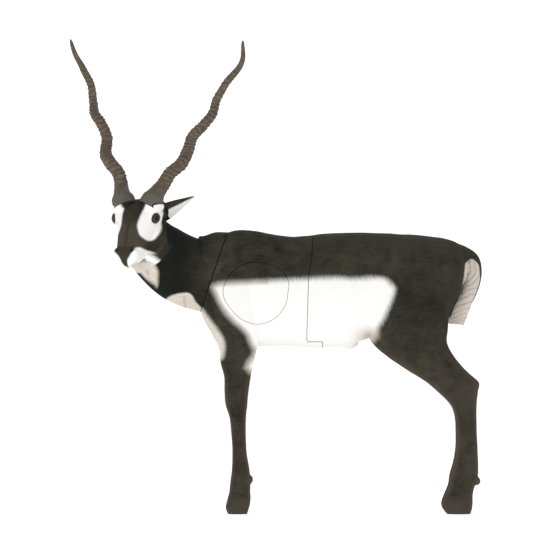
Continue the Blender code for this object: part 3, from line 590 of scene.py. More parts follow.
def oval(sides: int, power: float = 2.0, taper: float = 0.0) -> tuple[np.ndarray, np.ndarray]:
    """Points round a superellipse, whose upper half is wider by the taper.

    Args:
        sides: number of points.
        power: 2 for an ellipse, more for a squarer section.
        taper: share by which the top is wider than the middle.

    Returns:
        Places across and up, from -1 to 1.
    """
    angle = np.linspace(0, 2 * math.pi, sides, endpoint=False)
    across = np.sign(np.cos(angle)) * np.abs(np.cos(angle)) ** (2 / power)
    up = np.sign(np.sin(angle)) * np.abs(np.sin(angle)) ** (2 / power)
    return across * (1 + taper * up), up


def segment_distance(places: np.ndarray, start: np.ndarray, end: np.ndarray) -> np.ndarray:
    """Distance of each flat place from a segment: to its nearest point, clamped to the two ends."""
    along = end - start
    share = np.clip((places - start) @ along / max(along @ along, 1e-12), 0, 1)
    return np.linalg.norm(places - start - share[:, None] * along, axis=1)


def line_distance(places: np.ndarray, line: Sequence[Sequence[float]]) -> np.ndarray:
    """Distance of each flat place from a line of several segments."""
    line = np.array(line, dtype=float)
    return np.min([segment_distance(places, a, b) for a, b in zip(line, line[1:])], axis=0)


def signed_distance(places: np.ndarray, outline: Sequence[Sequence[float]], count: int = 90) -> np.ndarray:
    """Distance of flat places from a smooth closed outline, positive inside it.

    A place is inside where a ray to the right of it crosses the outline an odd number of times.

    Args:
        places: flat places, one a row.
        outline: the outline's corners, through which a closed smooth curve runs.
        count: number of short segments that stand for the curve.

    Returns:
        The signed distance of each place.
    """
    curve = smoothed(outline, count, closed=True)
    near = np.full(len(places), np.inf)
    inside = np.zeros(len(places), dtype=bool)
    for a, b in zip(curve, np.roll(curve, -1, axis=0)):
        near = np.minimum(near, segment_distance(places, a, b))
        crosses = (a[1] > places[:, 1]) != (b[1] > places[:, 1])
        rise = b[1] - a[1] if abs(b[1] - a[1]) > 1e-12 else 1e-12
        inside ^= crosses & (places[:, 0] < a[0] + (places[:, 1] - a[1]) * (b[0] - a[0]) / rise)
    return np.where(inside, near, -near)


@dataclass(frozen=True)
class Ripple:
    """Smooth irregular relief: the sum of plane waves of one length in seeded random directions."""

    length: float
    seed: int
    stretch: tuple[float, float, float] = (1.0, 1.0, 1.0)
    waves: int = 14

    def at(self, points: np.ndarray) -> np.ndarray:
        """The relief at each point, about -1 to 1."""
        draw = np.random.default_rng(self.seed)
        directions = draw.normal(size=(self.waves, 3))
        directions /= np.linalg.norm(directions, axis=1)[:, None]
        reach = draw.uniform(0.6, 1.5, size=(self.waves, 1))
        phases = draw.uniform(0, 2 * math.pi, size=self.waves)
        numbers = 2 * math.pi / self.length * directions * reach / np.array(self.stretch)
        return np.cos(points @ numbers.T + phases).sum(1) / math.sqrt(2 * self.waves)


@dataclass
class Shell:
    """A closed surface as points and faces."""

    points: np.ndarray
    faces: list[Sequence[int]]

    @classmethod
    def loft(cls, rings: np.ndarray) -> "Shell":
        """Skins a stack of rings, each end closed by a fan to the middle of its ring.

        Args:
            rings: points as rows of rings.

        Returns:
            The closed surface.
        """
        count, sides = rings.shape[:2]
        row = np.arange(count - 1)[:, None] * sides
        here = np.arange(sides)[None, :]
        after = (here + 1) % sides
        quads = np.stack([row + here, row + after, row + sides + after, row + sides + here], -1)
        first, last, end = count * sides, count * sides + 1, (count - 1) * sides
        here, after = here[0], after[0]
        low = np.stack([np.full(sides, first), after, here], -1)
        high = np.stack([np.full(sides, last), end + here, end + after], -1)
        points = np.vstack([rings.reshape(-1, 3), rings[0].mean(0), rings[-1].mean(0)])
        return cls(points, quads.reshape(-1, 4).tolist() + low.tolist() + high.tolist())

    @classmethod
    def ball(
        cls,
        centre: np.ndarray,
        axes: Sequence[np.ndarray],
        radii: Sequence[float],
        rings: int = 16,
        sides: int = 28,
    ) -> "Shell":
        """An ellipsoid with its radii along three given directions.

        Args:
            centre: its middle.
            axes: three directions.
            radii: the radius along each direction.
            rings: rings between the poles.
            sides: points on each ring.

        Returns:
            The closed surface.
        """
        polar = np.linspace(0, math.pi, rings + 2)[1:-1]
        angle = np.linspace(0, 2 * math.pi, sides, endpoint=False)
        p, a = np.meshgrid(polar, angle, indexing="ij")
        unit_ball = np.stack([np.sin(p) * np.cos(a), np.sin(p) * np.sin(a), np.cos(p)], -1)
        spread = np.array(axes) * np.array(radii)[:, None]
        shell = cls.loft(unit_ball @ spread + centre)
        shell.points[-2] = centre + spread[2]
        shell.points[-1] = centre - spread[2]
        return shell

    @classmethod
    def sheet(cls, upper: np.ndarray, lower: np.ndarray) -> "Shell":
        """Closes the space between two grids of points by a band along their shared outline.

        Args:
            upper: one grid.
            lower: the other grid, of the same size.

        Returns:
            The closed surface.
        """
        rows, columns = upper.shape[:2]
        below = rows * columns
        row = np.arange(rows - 1)[:, None] * columns
        column = np.arange(columns - 1)[None, :]
        quads = np.stack([row + column, row + column + 1, row + columns + column + 1, row + columns + column], -1)
        quads = quads.reshape(-1, 4)
        index = np.arange(below).reshape(rows, columns)
        rim = np.concatenate([index[0, :-1], index[:-1, -1], index[-1, :0:-1], index[:0:-1, 0]])
        after = np.roll(rim, -1)
        band = np.stack([after, rim, below + rim, below + after], -1)
        faces = quads.tolist() + (below + quads[:, ::-1]).tolist() + band.tolist()
        return cls(np.vstack([upper.reshape(-1, 3), lower.reshape(-1, 3)]), faces)

    @classmethod
    def prism(cls, outline: Sequence[Sequence[float]], half_width: float) -> "Shell":
        """A block with the given outline in x and z, between -y and +y."""
        flat = np.array(outline, dtype=float)
        rings = [np.stack([flat[:, 0], np.full(len(flat), y), flat[:, 1]], -1) for y in (-half_width, half_width)]
        count = len(flat)
        here = np.arange(count)
        after = (here + 1) % count
        sides = np.stack([here, here + count, after + count, after], -1).tolist()
        caps = [here.tolist(), (here[::-1] + count).tolist()]
        return cls(np.vstack(rings), sides + caps)

    @classmethod
    def joined(cls, shells: Sequence["Shell"]) -> "Shell":
        """Several surfaces as one, none of them merged."""
        points, faces, base = [], [], 0
        for shell in shells:
            points.append(shell.points)
            faces += [[base + corner for corner in face] for face in shell.faces]
            base += len(shell.points)
        return cls(np.vstack(points), faces)

    def mesh(self, name: str) -> bpy.types.Mesh:
        """The surface as a mesh, its faces turned outwards."""
        mesh = bpy.data.meshes.new(name)
        mesh.from_pydata(self.points.tolist(), [], self.faces)
        work = bmesh.new()
        work.from_mesh(mesh)
        bmesh.ops.recalc_face_normals(work, faces=work.faces)
        work.to_mesh(mesh)
        work.free()
        return mesh


class Cut(Enum):
    """What a block does to the foam that it meets."""

    KEEP = "INTERSECT"
    TAKE = "DIFFERENCE"


class Foam:
    """A body of foam in the making: a mesh that is fused, softened, carved and cut."""

    def __init__(self, mesh: bpy.types.Mesh) -> None:
        """Takes a mesh of one or more closed surfaces."""
        self.mesh = mesh

    @property
    def points(self) -> np.ndarray:
        """Place of every point."""
        values = np.empty(len(self.mesh.vertices) * 3)
        self.mesh.vertices.foreach_get("co", values)
        return values.reshape(-1, 3)

    @points.setter
    def points(self, places: np.ndarray) -> None:
        self.mesh.vertices.foreach_set("co", places.ravel())
        self.mesh.update()

    @property
    def normals(self) -> np.ndarray:
        """Direction out of the surface at every point."""
        values = np.empty(len(self.mesh.vertices) * 3)
        self.mesh.vertex_normals.foreach_get("vector", values)
        return values.reshape(-1, 3)

    def copy(self) -> "Foam":
        """The same foam once more."""
        return Foam(self.mesh.copy())

    def _through(self, modifier: str, settings: dict[str, object], tool: bpy.types.Mesh | None = None) -> None:
        """Runs the mesh through one modifier.

        Args:
            modifier: the modifier's type.
            settings: its settings.
            tool: mesh of the object that it works with, if any.
        """
        things = [bpy.data.objects.new("foam", self.mesh)]
        if tool is not None:
            things.append(bpy.data.objects.new("tool", tool))
        for thing in things:
            bpy.context.scene.collection.objects.link(thing)
        step = things[0].modifiers.new("step", modifier)
        for setting, value in settings.items():
            setattr(step, setting, value)
        if tool is not None:
            step.object = things[1]
        graph = bpy.context.evaluated_depsgraph_get()
        self.mesh = bpy.data.meshes.new_from_object(things[0].evaluated_get(graph))
        for thing in things:
            bpy.data.objects.remove(thing)

    def fuse(self, cell: float) -> "Foam":
        """Rebuilds everything as one skin on even cells."""
        self._through("REMESH", {"mode": "VOXEL", "voxel_size": cell, "adaptivity": 0.0})
        return self

    def soften(self, rounds: int, pull: float = 0.55, push: float = -0.58) -> "Foam":
        """Softens the skin without shrinking it.

        Each round moves every point by a share of the way to the mean of its neighbours, then by a little
        more the other way.

        Args:
            rounds: number of rounds.
            pull: share of the first move.
            push: share of the second one.

        Returns:
            The foam.
        """
        points = self.points
        ends = np.empty(len(self.mesh.edges) * 2, dtype=int)
        self.mesh.edges.foreach_get("vertices", ends)
        first, second = ends.reshape(-1, 2).T
        count = np.bincount(ends, minlength=len(points)).astype(float)
        for move in (pull, push) * rounds:
            for axis in range(3):
                column = points[:, axis]
                total = np.bincount(first, column[second], len(points)) + np.bincount(second, column[first], len(points))
                points[:, axis] = column + move * (total / count - column)
        self.points = points
        return self

    def carve(self, depth: Callable[[np.ndarray, np.ndarray], np.ndarray]) -> "Foam":
        """Moves every point along its normal by a height that depends on its place and its normal."""
        points, normals = self.points, self.normals
        self.points = points + depth(points, normals)[:, None] * normals
        return self

    def cut(self, block: Shell, how: Cut) -> "Foam":
        """Keeps what is inside a block, or takes it away."""
        self._through("BOOLEAN", {"operation": how.value, "solver": "MANIFOLD"}, block.mesh("block"))
        return self

    def largest(self) -> "Foam":
        """Keeps only the largest connected surface.

        Every point takes the lowest label among its neighbours until nothing changes, so that each
        surface ends with a label of its own.
        """
        ends = np.empty(len(self.mesh.edges) * 2, dtype=int)
        self.mesh.edges.foreach_get("vertices", ends)
        first, second = ends.reshape(-1, 2).T
        label = np.arange(len(self.mesh.vertices))
        while True:
            low = np.minimum(label[first], label[second])
            fresh = label.copy()
            np.minimum.at(fresh, first, low)
            np.minimum.at(fresh, second, low)
            fresh = fresh[fresh]
            if np.array_equal(fresh, label):
                break
            label = fresh
        names, sizes = np.unique(label, return_counts=True)
        if len(names) > 1:
            log.info("dropped %d loose surfaces", len(names) - 1)
            loose = label != names[np.argmax(sizes)]
            work = bmesh.new()
            work.from_mesh(self.mesh)
            work.verts.ensure_lookup_table()
            bmesh.ops.delete(work, geom=[work.verts[i] for i in np.flatnonzero(loose)], context="VERTS")
            work.to_mesh(self.mesh)
            work.free()
        return self


@dataclass(frozen=True)
class Paint:
    """A paint's linear colour."""

    red: float
    green: float
    blue: float

    @property
    def colour(self) -> tuple[float, float, float, float]:
        """The colour as a socket takes it."""
        return (self.red, self.green, self.blue, 1.0)


class Value:
    """A number that a shader works out. Sums and products of values add Math nodes."""

    def __init__(self, graph: "Graph", socket: bpy.types.NodeSocket) -> None:
        """Wraps an output socket."""
        self.graph = graph
        self.socket = socket

    def _with(self, operation: str, *operands: "Value | float") -> "Value":
        """A Math node on this value's graph."""
        values = dict(enumerate(operands))
        return self.graph.value("ShaderNodeMath", {"operation": operation}, values)

    def __add__(self, other: "Value | float") -> "Value":
        """Sum."""
        return self._with("ADD", self, other)

    __radd__ = __add__

    def __mul__(self, other: "Value | float") -> "Value":
        """Product."""
        return self._with("MULTIPLY", self, other)

    __rmul__ = __mul__

    def __sub__(self, other: "Value | float") -> "Value":
        """Difference."""
        return self._with("SUBTRACT", self, other)

    def __rsub__(self, other: float) -> "Value":
        """Difference from a number."""
        return self._with("SUBTRACT", other, self)

    def __truediv__(self, other: "Value | float") -> "Value":
        """Quotient."""
        return self._with("DIVIDE", self, other)

    def __pow__(self, other: "Value | float") -> "Value":
        """Power."""
        return self._with("POWER", self, other)

    def __neg__(self) -> "Value":
        """The value with its sign turned."""
        return self * -1.0

    def highest(self, other: "Value | float") -> "Value":
        """The larger of two values."""
        return self._with("MAXIMUM", self, other)

    def lowest(self, other: "Value | float") -> "Value":
        """The smaller of two values."""
        return self._with("MINIMUM", self, other)

    def step(self, low: float, high: float) -> "Value":
        """Zero below low, one above high and smooth between them."""
        return self.graph.value(
            "ShaderNodeMapRange",
            {"interpolation_type": "SMOOTHSTEP"},
            {"Value": self, "From Min": low, "From Max": high},
            "Result",
        )


class Graph:
    """The nodes of one procedural material."""

    def __init__(self, name: str) -> None:
        """Starts a material that has only its shader and its output."""
        self.material = bpy.data.materials.new(name)
        self.material.use_nodes = True
        self.tree = self.material.node_tree
        self.shader = self.tree.nodes["Principled BSDF"]
        self.place = self.node("ShaderNodeTexCoord", {}, {}).outputs["Object"]

    def node(self, kind: str, settings: dict[str, object], values: dict[str | int, object]) -> bpy.types.Node:
        """Adds any node.

        Args:
            kind: the node's type.
            settings: its settings, set first. A ramp's stops come as {"stops": ((place, colour), ...)}.
            values: what its sockets get, by name or number: numbers, colours, Values or output sockets.

        Returns:
            The node.
        """
        made = self.tree.nodes.new(kind)
        for setting, value in settings.items():
            if setting == "stops":
                self._set_stops(made, value)
            else:
                setattr(made, setting, value)
        for name, value in values.items():
            socket = made.inputs[name]
            if isinstance(value, Value):
                self.tree.links.new(value.socket, socket)
            elif isinstance(value, bpy.types.NodeSocket):
                self.tree.links.new(value, socket)
            elif isinstance(value, Paint):
                socket.default_value = value.colour
            else:
                socket.default_value = value
        return made

    @staticmethod
    def _set_stops(ramp: bpy.types.Node, stops: Sequence[tuple[float, Paint]]) -> None:
        """Gives a colour ramp its stops."""
        elements = ramp.color_ramp.elements
        while len(elements) < len(stops):
            elements.new(1.0)
        for element, (place, paint) in zip(elements, stops):
            element.position = place
            element.color = paint.colour

    def value(
        self,
        kind: str,
        settings: dict[str, object],
        values: dict[str | int, object],
        output: str | int = 0,
    ) -> Value:
        """Adds a node and wraps one of its outputs as a value."""
        return Value(self, self.node(kind, settings, values).outputs[output])

    def field(self, name: str) -> Value:
        """A number that the mesh carries at each point."""
        return self.value("ShaderNodeAttribute", {"attribute_name": name}, {}, "Fac")

    def noise(
        self,
        scale: float,
        detail: float = 3.0,
        roughness: float = 0.55,
        stretch: tuple[float, float, float] = (1.0, 1.0, 1.0),
        turn: tuple[float, float, float] = (0.0, 0.0, 0.0),
    ) -> Value:
        """Cloudy noise on the object's own coordinates.

        Args:
            scale: how many clouds a metre.
            detail: number of finer layers.
            roughness: weight of the finer layers.
            stretch: how much closer the clouds lie along each axis.
            turn: angles by which the pattern is turned first.

        Returns:
            The noise, about 0.5 on average.
        """
        turned = self.node("ShaderNodeMapping", {"vector_type": "POINT"}, {"Vector": self.place, "Rotation": turn})
        spread = self.node("ShaderNodeMapping", {"vector_type": "POINT"}, {"Vector": turned.outputs[0], "Scale": stretch})
        inputs = {"Vector": spread.outputs[0], "Scale": scale, "Detail": detail, "Roughness": roughness}
        return self.value("ShaderNodeTexNoise", {"noise_dimensions": "3D"}, inputs, 0)

    def mixed(self, share: Value | float, under: object, over: object) -> bpy.types.NodeSocket:
        """A colour that turns from one to another as the share goes from 0 to 1."""
        made = self.node("ShaderNodeMix", {"data_type": "RGBA", "clamp_factor": True}, {"Factor": share})
        for index, colour in ((6, under), (7, over)):
            if isinstance(colour, Paint):
                made.inputs[index].default_value = colour.colour
            else:
                self.tree.links.new(colour, made.inputs[index])
        return made.outputs[2]

    def bumped(self, height: Value, distance: float, strength: float = 1.0, under: object = None) -> object:
        """Adds a relief on top of another one.

        Args:
            height: the relief's height from 0 to 1.
            distance: what a height of one stands for, in metres.
            strength: share of it that shows.
            under: output of a relief under it, if any.

        Returns:
            The output for a Normal socket.
        """
        values = {"Height": height, "Distance": distance, "Strength": strength}
        if under is not None:
            values["Normal"] = under
        return self.node("ShaderNodeBump", {}, values).outputs[0]

    def finish(self, colour: object, roughness: Value | float, normal: object = None, **constants: float) -> bpy.types.Material:
        """Feeds the shader.

        Args:
            colour: output that gives the base colour.
            roughness: a value or a number.
            normal: output that gives the normal, if any.
            constants: numbers for the shader's other sockets, with underscores for spaces.

        Returns:
            The material.
        """
        self.tree.links.new(colour, self.shader.inputs["Base Color"])
        if isinstance(roughness, Value):
            self.tree.links.new(roughness.socket, self.shader.inputs["Roughness"])
        else:
            self.shader.inputs["Roughness"].default_value = roughness
        if normal is not None:
            self.tree.links.new(normal, self.shader.inputs["Normal"])
        for name, value in constants.items():
            self.shader.inputs[name.replace("_", " ")].default_value = value
        return self.material


@dataclass(frozen=True)
class CoatFinish:
    """The airbrushed coat of the foam skins. The skins carry where each paint lies as fields."""

    umber: Paint = Paint(0.058, 0.052, 0.038)
    soot: Paint = Paint(0.016, 0.0150, 0.0125)
    neck_black: Paint = Paint(0.0085, 0.0105, 0.0095)
    edge_brown: Paint = Paint(0.120, 0.082, 0.054)
    hoof: Paint = Paint(0.064, 0.055, 0.043)
    # Lighter brown of the nose's bridge; the same paint also makes painted light on the top of the back and the hip
    # ridge, and a painted highlight along the jaw
    bridge: Paint = Paint(0.075, 0.065, 0.047)
    nose: Paint = Paint(0.047, 0.041, 0.032)
    ivory: Paint = Paint(0.92, 0.915, 0.895)
    cream: Paint = Paint(0.60, 0.55, 0.46)
    # Pinkish brown: painted shade in the groin and in the creases of the throat and chest, and a pink tint at the edge
    # of the throat's cream
    blush: Paint = Paint(0.42, 0.34, 0.27)
    tear: Paint = Paint(0.23, 0.155, 0.095)
    # Near black: painted shade of the cracks at the seams
    joint: Paint = Paint(0.005, 0.005, 0.004)

    def build(self) -> bpy.types.Material:
        """Builds the material.

        Returns:
            A material that all the skins share.
        """
        g = Graph("airbrushed_coat")
        mottle = g.noise(26.0, 4.0, 0.62)
        cloud = g.noise(7.0, 2.0)
        speck = g.noise(420.0, 2.0, 0.7)
        hair = g.noise(34.0, 3.0, 0.6, (1.0, 3.0, 9.0), (0.0, 0.12, 0.0))
        streak = g.noise(30.0, 4.0, 0.7, (11.0, 4.0, 1.2), (0.0, 0.22, 0.0))

        shade = (mottle - 0.5) * 1.5 + (cloud - 0.5) * 0.9 + (hair - 0.5) * 0.8 + (speck - 0.5) * 0.35 + 0.45
        coat = g.mixed(shade, self.umber, self.soot)
        coat = g.mixed(g.field("dusk") * (0.92 + (hair - 0.5) * 0.5), coat, self.neck_black)
        coat = g.mixed(g.field("edge") * (0.25 + mottle), coat, self.edge_brown)
        coat = g.mixed(g.field("hoof") * (0.3 + mottle), coat, self.hoof)
        # The bridge field: the nose's lighter bridge and tan marks, with painted light on the back and a painted
        # highlight on the jaw
        coat = g.mixed(g.field("bridge") * (0.25 + mottle * 1.1), coat, self.bridge)
        coat = g.mixed(g.field("nose") * 0.9, coat, self.nose)

        ragged = g.field("ragged")
        white = g.field("white") + (streak - 0.5) * 0.016 * ragged + (mottle - 0.5) * 0.006
        pale = g.mixed(g.field("cream") * (0.85 + (hair - 0.5) * 1.1), self.ivory, self.cream)
        # Painted shade in the groin and the creases, and the throat's pink tint
        pale = g.mixed(g.field("blush") * (0.45 + mottle), pale, self.blush)
        soft = g.field("soft")
        share = (white / soft * 0.5 + 0.5).step(0.0, 1.0)
        colour = g.mixed(share, coat, pale)
        colour = g.mixed(g.field("tear"), colour, self.tear)
        # Painted shade: the dark line in each seam's crack, fainter on the white
        line = (1.0 - g.field("seam").step(0.45, 1.0)) * (1.0 - share * 0.25)
        colour = g.mixed(line, colour, self.joint)

        grain = g.noise(900.0, 3.0, 0.6)
        groove = g.noise(60.0, 4.0, 0.65, (1.0, 2.0, 8.0), (0.0, 0.10, 0.0))
        normal = g.bumped(groove, 0.0012, 0.35)
        normal = g.bumped(grain, 0.0004, 0.5, normal)
        return g.finish(colour, 0.70 + (mottle - 0.5) * 0.25, normal, Specular_IOR_Level=0.05)


@dataclass(frozen=True)
class HornFinish:
    """The horns' paint: pale ridges over dark grooves, which is painted light on the ridges and painted shade in the
    grooves.
    """

    ridge: Paint = Paint(0.175, 0.145, 0.107)
    groove: Paint = Paint(0.085, 0.069, 0.048)
    rust: Paint = Paint(0.125, 0.083, 0.055)
    base: Paint = Paint(0.118, 0.108, 0.090)
    # Near black: painted shadow under the horn's base
    joint: Paint = Paint(0.005, 0.005, 0.004)

    def build(self) -> bpy.types.Material:
        """Builds the material."""
        g = Graph("horn_paint")
        mottle = g.noise(60.0, 4.0, 0.65)
        patch = g.noise(14.0, 2.0)
        fine = g.noise(500.0, 2.0, 0.6)
        # Paler on the rings' crests and darker between them: painted light and painted shade
        crest = g.field("crest") * 0.6 + 0.12 + (mottle - 0.5) * 1.7 + (fine - 0.5) * 0.4
        colour = g.mixed(crest.step(0.0, 1.0), self.groove, self.ridge)
        colour = g.mixed(patch.step(0.45, 0.75) * 0.40, colour, self.rust)
        colour = g.mixed(g.field("base") * 0.75, colour, self.base)
        # Painted shadow: the dark line where the horn leaves the head
        colour = g.mixed(1.0 - g.field("seam").step(0.45, 1.0), colour, self.joint)
        normal = g.bumped(g.noise(700.0, 3.0, 0.6), 0.0005, 0.5)
        return g.finish(colour, 0.62 + (mottle - 0.5) * 0.2, normal, Specular_IOR_Level=0.15)


@dataclass(frozen=True)
class TailFinish:
    """The tail's paint: cream locks with brown grooves, the brown being painted shade between the locks, and a brown
    line inside the rim.
    """

    lock: Paint = Paint(0.60, 0.55, 0.48)
    groove: Paint = Paint(0.23, 0.19, 0.145)
    line: Paint = Paint(0.080, 0.060, 0.045)

    def build(self) -> bpy.types.Material:
        """Builds the material."""
        g = Graph("tail_paint")
        mottle = g.noise(70.0, 4.0, 0.6)
        crest = g.field("crest") + (mottle - 0.5) * 0.5
        # Painted shade: brown in the grooves between the locks
        colour = g.mixed(crest.step(-0.05, 0.75), self.groove, self.lock)
        colour = g.mixed(g.field("line") * (0.35 + mottle * 0.7), colour, self.line)
        normal = g.bumped(g.noise(800.0, 3.0, 0.6), 0.0004, 0.5)
        return g.finish(colour, 0.78, normal, Specular_IOR_Level=0.05)


@dataclass(frozen=True)
class EyeFinish:
    """The painted eye: a black pupil in a dark brown iris, under gloss."""

    pupil: Paint = Paint(0.006, 0.005, 0.004)
    iris: Paint = Paint(0.050, 0.034, 0.022)
    rim: Paint = Paint(0.012, 0.009, 0.007)

    def build(self) -> bpy.types.Material:
        """Builds the material."""
        g = Graph("eye_paint")
        around = g.field("around") + (g.noise(300.0, 2.0) - 0.5) * 0.12
        colour = g.mixed(around.step(0.42, 0.58), self.pupil, self.iris)
        colour = g.mixed(around.step(0.80, 0.97), colour, self.rim)
        return g.finish(colour, 0.32, None, Specular_IOR_Level=0.2, Coat_Weight=0.08, Coat_Roughness=0.15)


@dataclass(frozen=True)
class HeadFrame:
    """The head's own directions and places, in the maker's frame."""

    crown: np.ndarray = field(default_factory=lambda: np.array(CROWN))
    left: np.ndarray = field(
        default_factory=lambda: np.array((math.cos(HEAD_TURN), -math.sin(HEAD_TURN), 0.0)))
    forward: np.ndarray = field(
        default_factory=lambda: np.array((-math.sin(HEAD_TURN), -math.cos(HEAD_TURN), 0.0)))
    up: np.ndarray = field(default_factory=lambda: np.array((0.0, 0.0, 1.0)))

    @property
    def down_face(self) -> np.ndarray:
        """Direction from the crown to the nose."""
        return math.cos(FACE_SLOPE) * self.forward - math.sin(FACE_SLOPE) * self.up

    @property
    def out_face(self) -> np.ndarray:
        """Direction square to the face."""
        return math.sin(FACE_SLOPE) * self.forward + math.cos(FACE_SLOPE) * self.up

    def on_face(self, side: float, down: float, out: float) -> np.ndarray:
        """A place to the left, down the face and out of the face from the crown."""
        return self.crown + side * self.left + down * self.down_face + out * self.out_face

    def from_crown(self, side: float, forward: float, up: float) -> np.ndarray:
        """A place to the left, forward and up from the crown."""
        return self.crown + side * self.left + forward * self.forward + up * self.up

    def face_places(self, points: np.ndarray) -> tuple[np.ndarray, np.ndarray, np.ndarray]:
        """The points' distances to the left, down the face and out of the face."""
        away = points - self.crown
        return away @ self.left, away @ self.down_face, away @ self.out_face

    def girth_places(self, points: np.ndarray) -> np.ndarray:
        """The points' places on the head's paint map.

        The first number is the angle round the head's long line, from the middle of the face, times a
        typical radius. The second is the distance down the face.
        """
        side, down, out = self.face_places(points)
        angle = np.arctan2(np.abs(side), out - HEAD_GIRTH_OUT)
        return np.stack([HEAD_GIRTH_RADIUS * angle, down], -1)

    def eye_axes(self, side: int) -> tuple[np.ndarray, np.ndarray, np.ndarray]:
        """Direction in which an eye looks, and the directions along and across its oval."""
        facing = side * math.sin(EYE_TURN) * self.left + math.cos(EYE_TURN) * self.forward
        along = unit(self.down_face - np.dot(self.down_face, facing) * facing)
        return facing, along, np.cross(facing, along)

    def eye_places(self, points: np.ndarray, side: int) -> tuple[np.ndarray, np.ndarray]:
        """The points' heights above an eye's middle, and their reach, which is one on the eye's outline."""
        facing, along, across = self.eye_axes(side)
        away = points - self.on_face(side * EYE[0], EYE[1], EYE[2])
        return away @ facing, np.hypot(away @ along / EYE_RADII[1], away @ across / EYE_RADII[2])


HEAD = HeadFrame()


def neck_plane() -> tuple[np.ndarray, np.ndarray]:
    """A point on the neck seam, and the direction square to it that looks to the head."""
    top, bottom = np.array(NECK_SEAM_TOP), np.array(NECK_SEAM_BOTTOM)
    rise = top - bottom
    return np.array((top[0], 0.0, top[1])), unit((-rise[1], 0.0, rise[0]))


def neck_seam_at(height: float) -> tuple[float, float]:
    """Where the neck seam's line passes a height."""
    (x1, z1), (x2, z2) = NECK_SEAM_TOP, NECK_SEAM_BOTTOM
    return x1 + (height - z1) * (x2 - x1) / (z2 - z1), height


def torso_shell() -> Shell:
    """The barrel as upright superellipse sections along x, widest below the middle."""
    rows = smoothed(TORSO, 90)
    across, up = oval(56, power=2.2, taper=-BARREL)
    middle, tall = (rows[:, 1] + rows[:, 2]) / 2, (rows[:, 1] - rows[:, 2]) / 2
    x = np.repeat(rows[:, :1], 56, axis=1)
    return Shell.loft(np.stack([x, rows[:, 3:] * across, middle[:, None] + tall[:, None] * up], -1))


def neck_shell() -> Shell:
    """The neck as superellipse sections square to its path, which rises and turns to the left."""
    rows = smoothed(NECK, 60)
    centre = rows[:, :3]
    along = np.gradient(centre, axis=0)
    along /= np.linalg.norm(along, axis=1)[:, None]
    side = np.cross(along, (0, 0, 1))
    side /= np.linalg.norm(side, axis=1)[:, None]
    over = np.cross(side, along)
    across, up = oval(52, power=2.1, taper=0.06)
    wide = rows[:, 4, None, None] * across[:, None] * side[:, None]
    tall = rows[:, 3, None, None] * up[:, None] * over[:, None]
    return Shell.loft(centre[:, None] + wide + tall)


def leg_shell(table: Sequence[Sequence[float]], side: int) -> Shell:
    """A leg as level superellipse sections from the shoulder or hip to below the sole."""
    rows = smoothed(table, 130)
    across, along = oval(36, power=2.15)
    z, front, rear, centre, half = rows.T
    x = ((front + rear) / 2)[:, None] + ((rear - front) / 2)[:, None] * along
    y = side * centre[:, None] + half[:, None] * across
    return Shell.loft(np.stack([x, y, np.repeat(z[:, None], 36, axis=1)], -1))


def dewclaw_shells(table: Sequence[float], side: int) -> list[Shell]:
    """The two dewclaws behind a fetlock."""
    x, z, offset, radius = table
    radii = (radius, radius * 0.75, radius * 1.15)
    return [Shell.ball(np.array((x, side * SOLE_Y + way * offset, z)), np.eye(3), radii, 10, 16) for way in (-1, 1)]


def cleft_block(table: Sequence[float], side: int) -> Shell:
    """The wedge that parts the two toes of a hoof."""
    tip, deep, wide, tall = table
    y = side * SOLE_Y
    outline = [(tip - 0.02, wide), (tip + deep, 0.0), (tip - 0.02, -wide)]
    low = [(x, y + dy, -0.02) for x, dy in outline]
    high = [(x, y + dy * 0.5, tall) for x, dy in outline]
    faces = [(0, 1, 2), (5, 4, 3), (0, 3, 4, 1), (1, 4, 5, 2), (2, 5, 3, 0)]
    return Shell(np.array(low + high), faces)


@dataclass(frozen=True)
class Stroke:
    """A line of relief on both flanks, seen from the side: its places in x and z, height and half width."""

    line: tuple[tuple[float, float], ...]
    height: float
    width: float

    def at(self, points: np.ndarray, normals: np.ndarray) -> np.ndarray:
        """Height at each point: a bell over the distance from the line, where the skin faces sideways."""
        away = line_distance(points[:, [0, 2]], self.line)
        return self.height * np.exp(-((away / self.width) ** 2)) * np.clip(np.abs(normals[:, 1]) * 1.5, 0, 1)


BODY_STROKES = (
    Stroke(((0.503, 0.410), (0.526, 0.374), (0.541, 0.346)), -0.0040, 0.0060),
    Stroke(((0.478, 0.386), (0.508, 0.352), (0.520, 0.320)), -0.0016, 0.0080),
    Stroke(((0.556, 0.300), (0.557, 0.220), (0.557, 0.150)), -0.0014, 0.0040),
    Stroke(((-0.097, 0.280), (-0.096, 0.200), (-0.093, 0.120)), -0.0014, 0.0040),
    Stroke(((-0.114, 0.440), (-0.108, 0.370), (-0.104, 0.300)), -0.0016, 0.0070),
    Stroke(((0.288, 0.505), (0.316, 0.580), (0.338, 0.650), (0.352, 0.700)), -0.0030, 0.0180),
    Stroke(((-0.060, 0.480), (-0.100, 0.535), (-0.150, 0.600), (-0.172, 0.660)), -0.0030, 0.0120),
    Stroke(((-0.215, 0.600), (-0.190, 0.680), (-0.165, 0.745)), -0.0020, 0.0160),
    Stroke(((-0.120, 0.770), (-0.150, 0.700), (-0.165, 0.640)), 0.0020, 0.0200),
    Stroke(((0.400, 0.730), (0.420, 0.640), (0.410, 0.560)), -0.0018, 0.0260),
    Stroke(((0.520, 0.660), (0.500, 0.590), (0.488, 0.530)), -0.0016, 0.0140),
)
# Low ridge over the hip, and the creases in the throat and the chest
HIP_RIDGE = Stroke(((0.300, 0.797), (0.4028, 0.7857), (0.437, 0.777), (0.460, 0.760), (0.4885, 0.744)), 0.0015, 0.0160)
CREASES = (
    Stroke(((-0.3706, 0.7191), (-0.3650, 0.7000), (-0.3606, 0.6811)), -0.0016, 0.0040),
    Stroke(((-0.2586, 0.6171), (-0.2565, 0.6000), (-0.2543, 0.5808)), -0.0016, 0.0040),
)


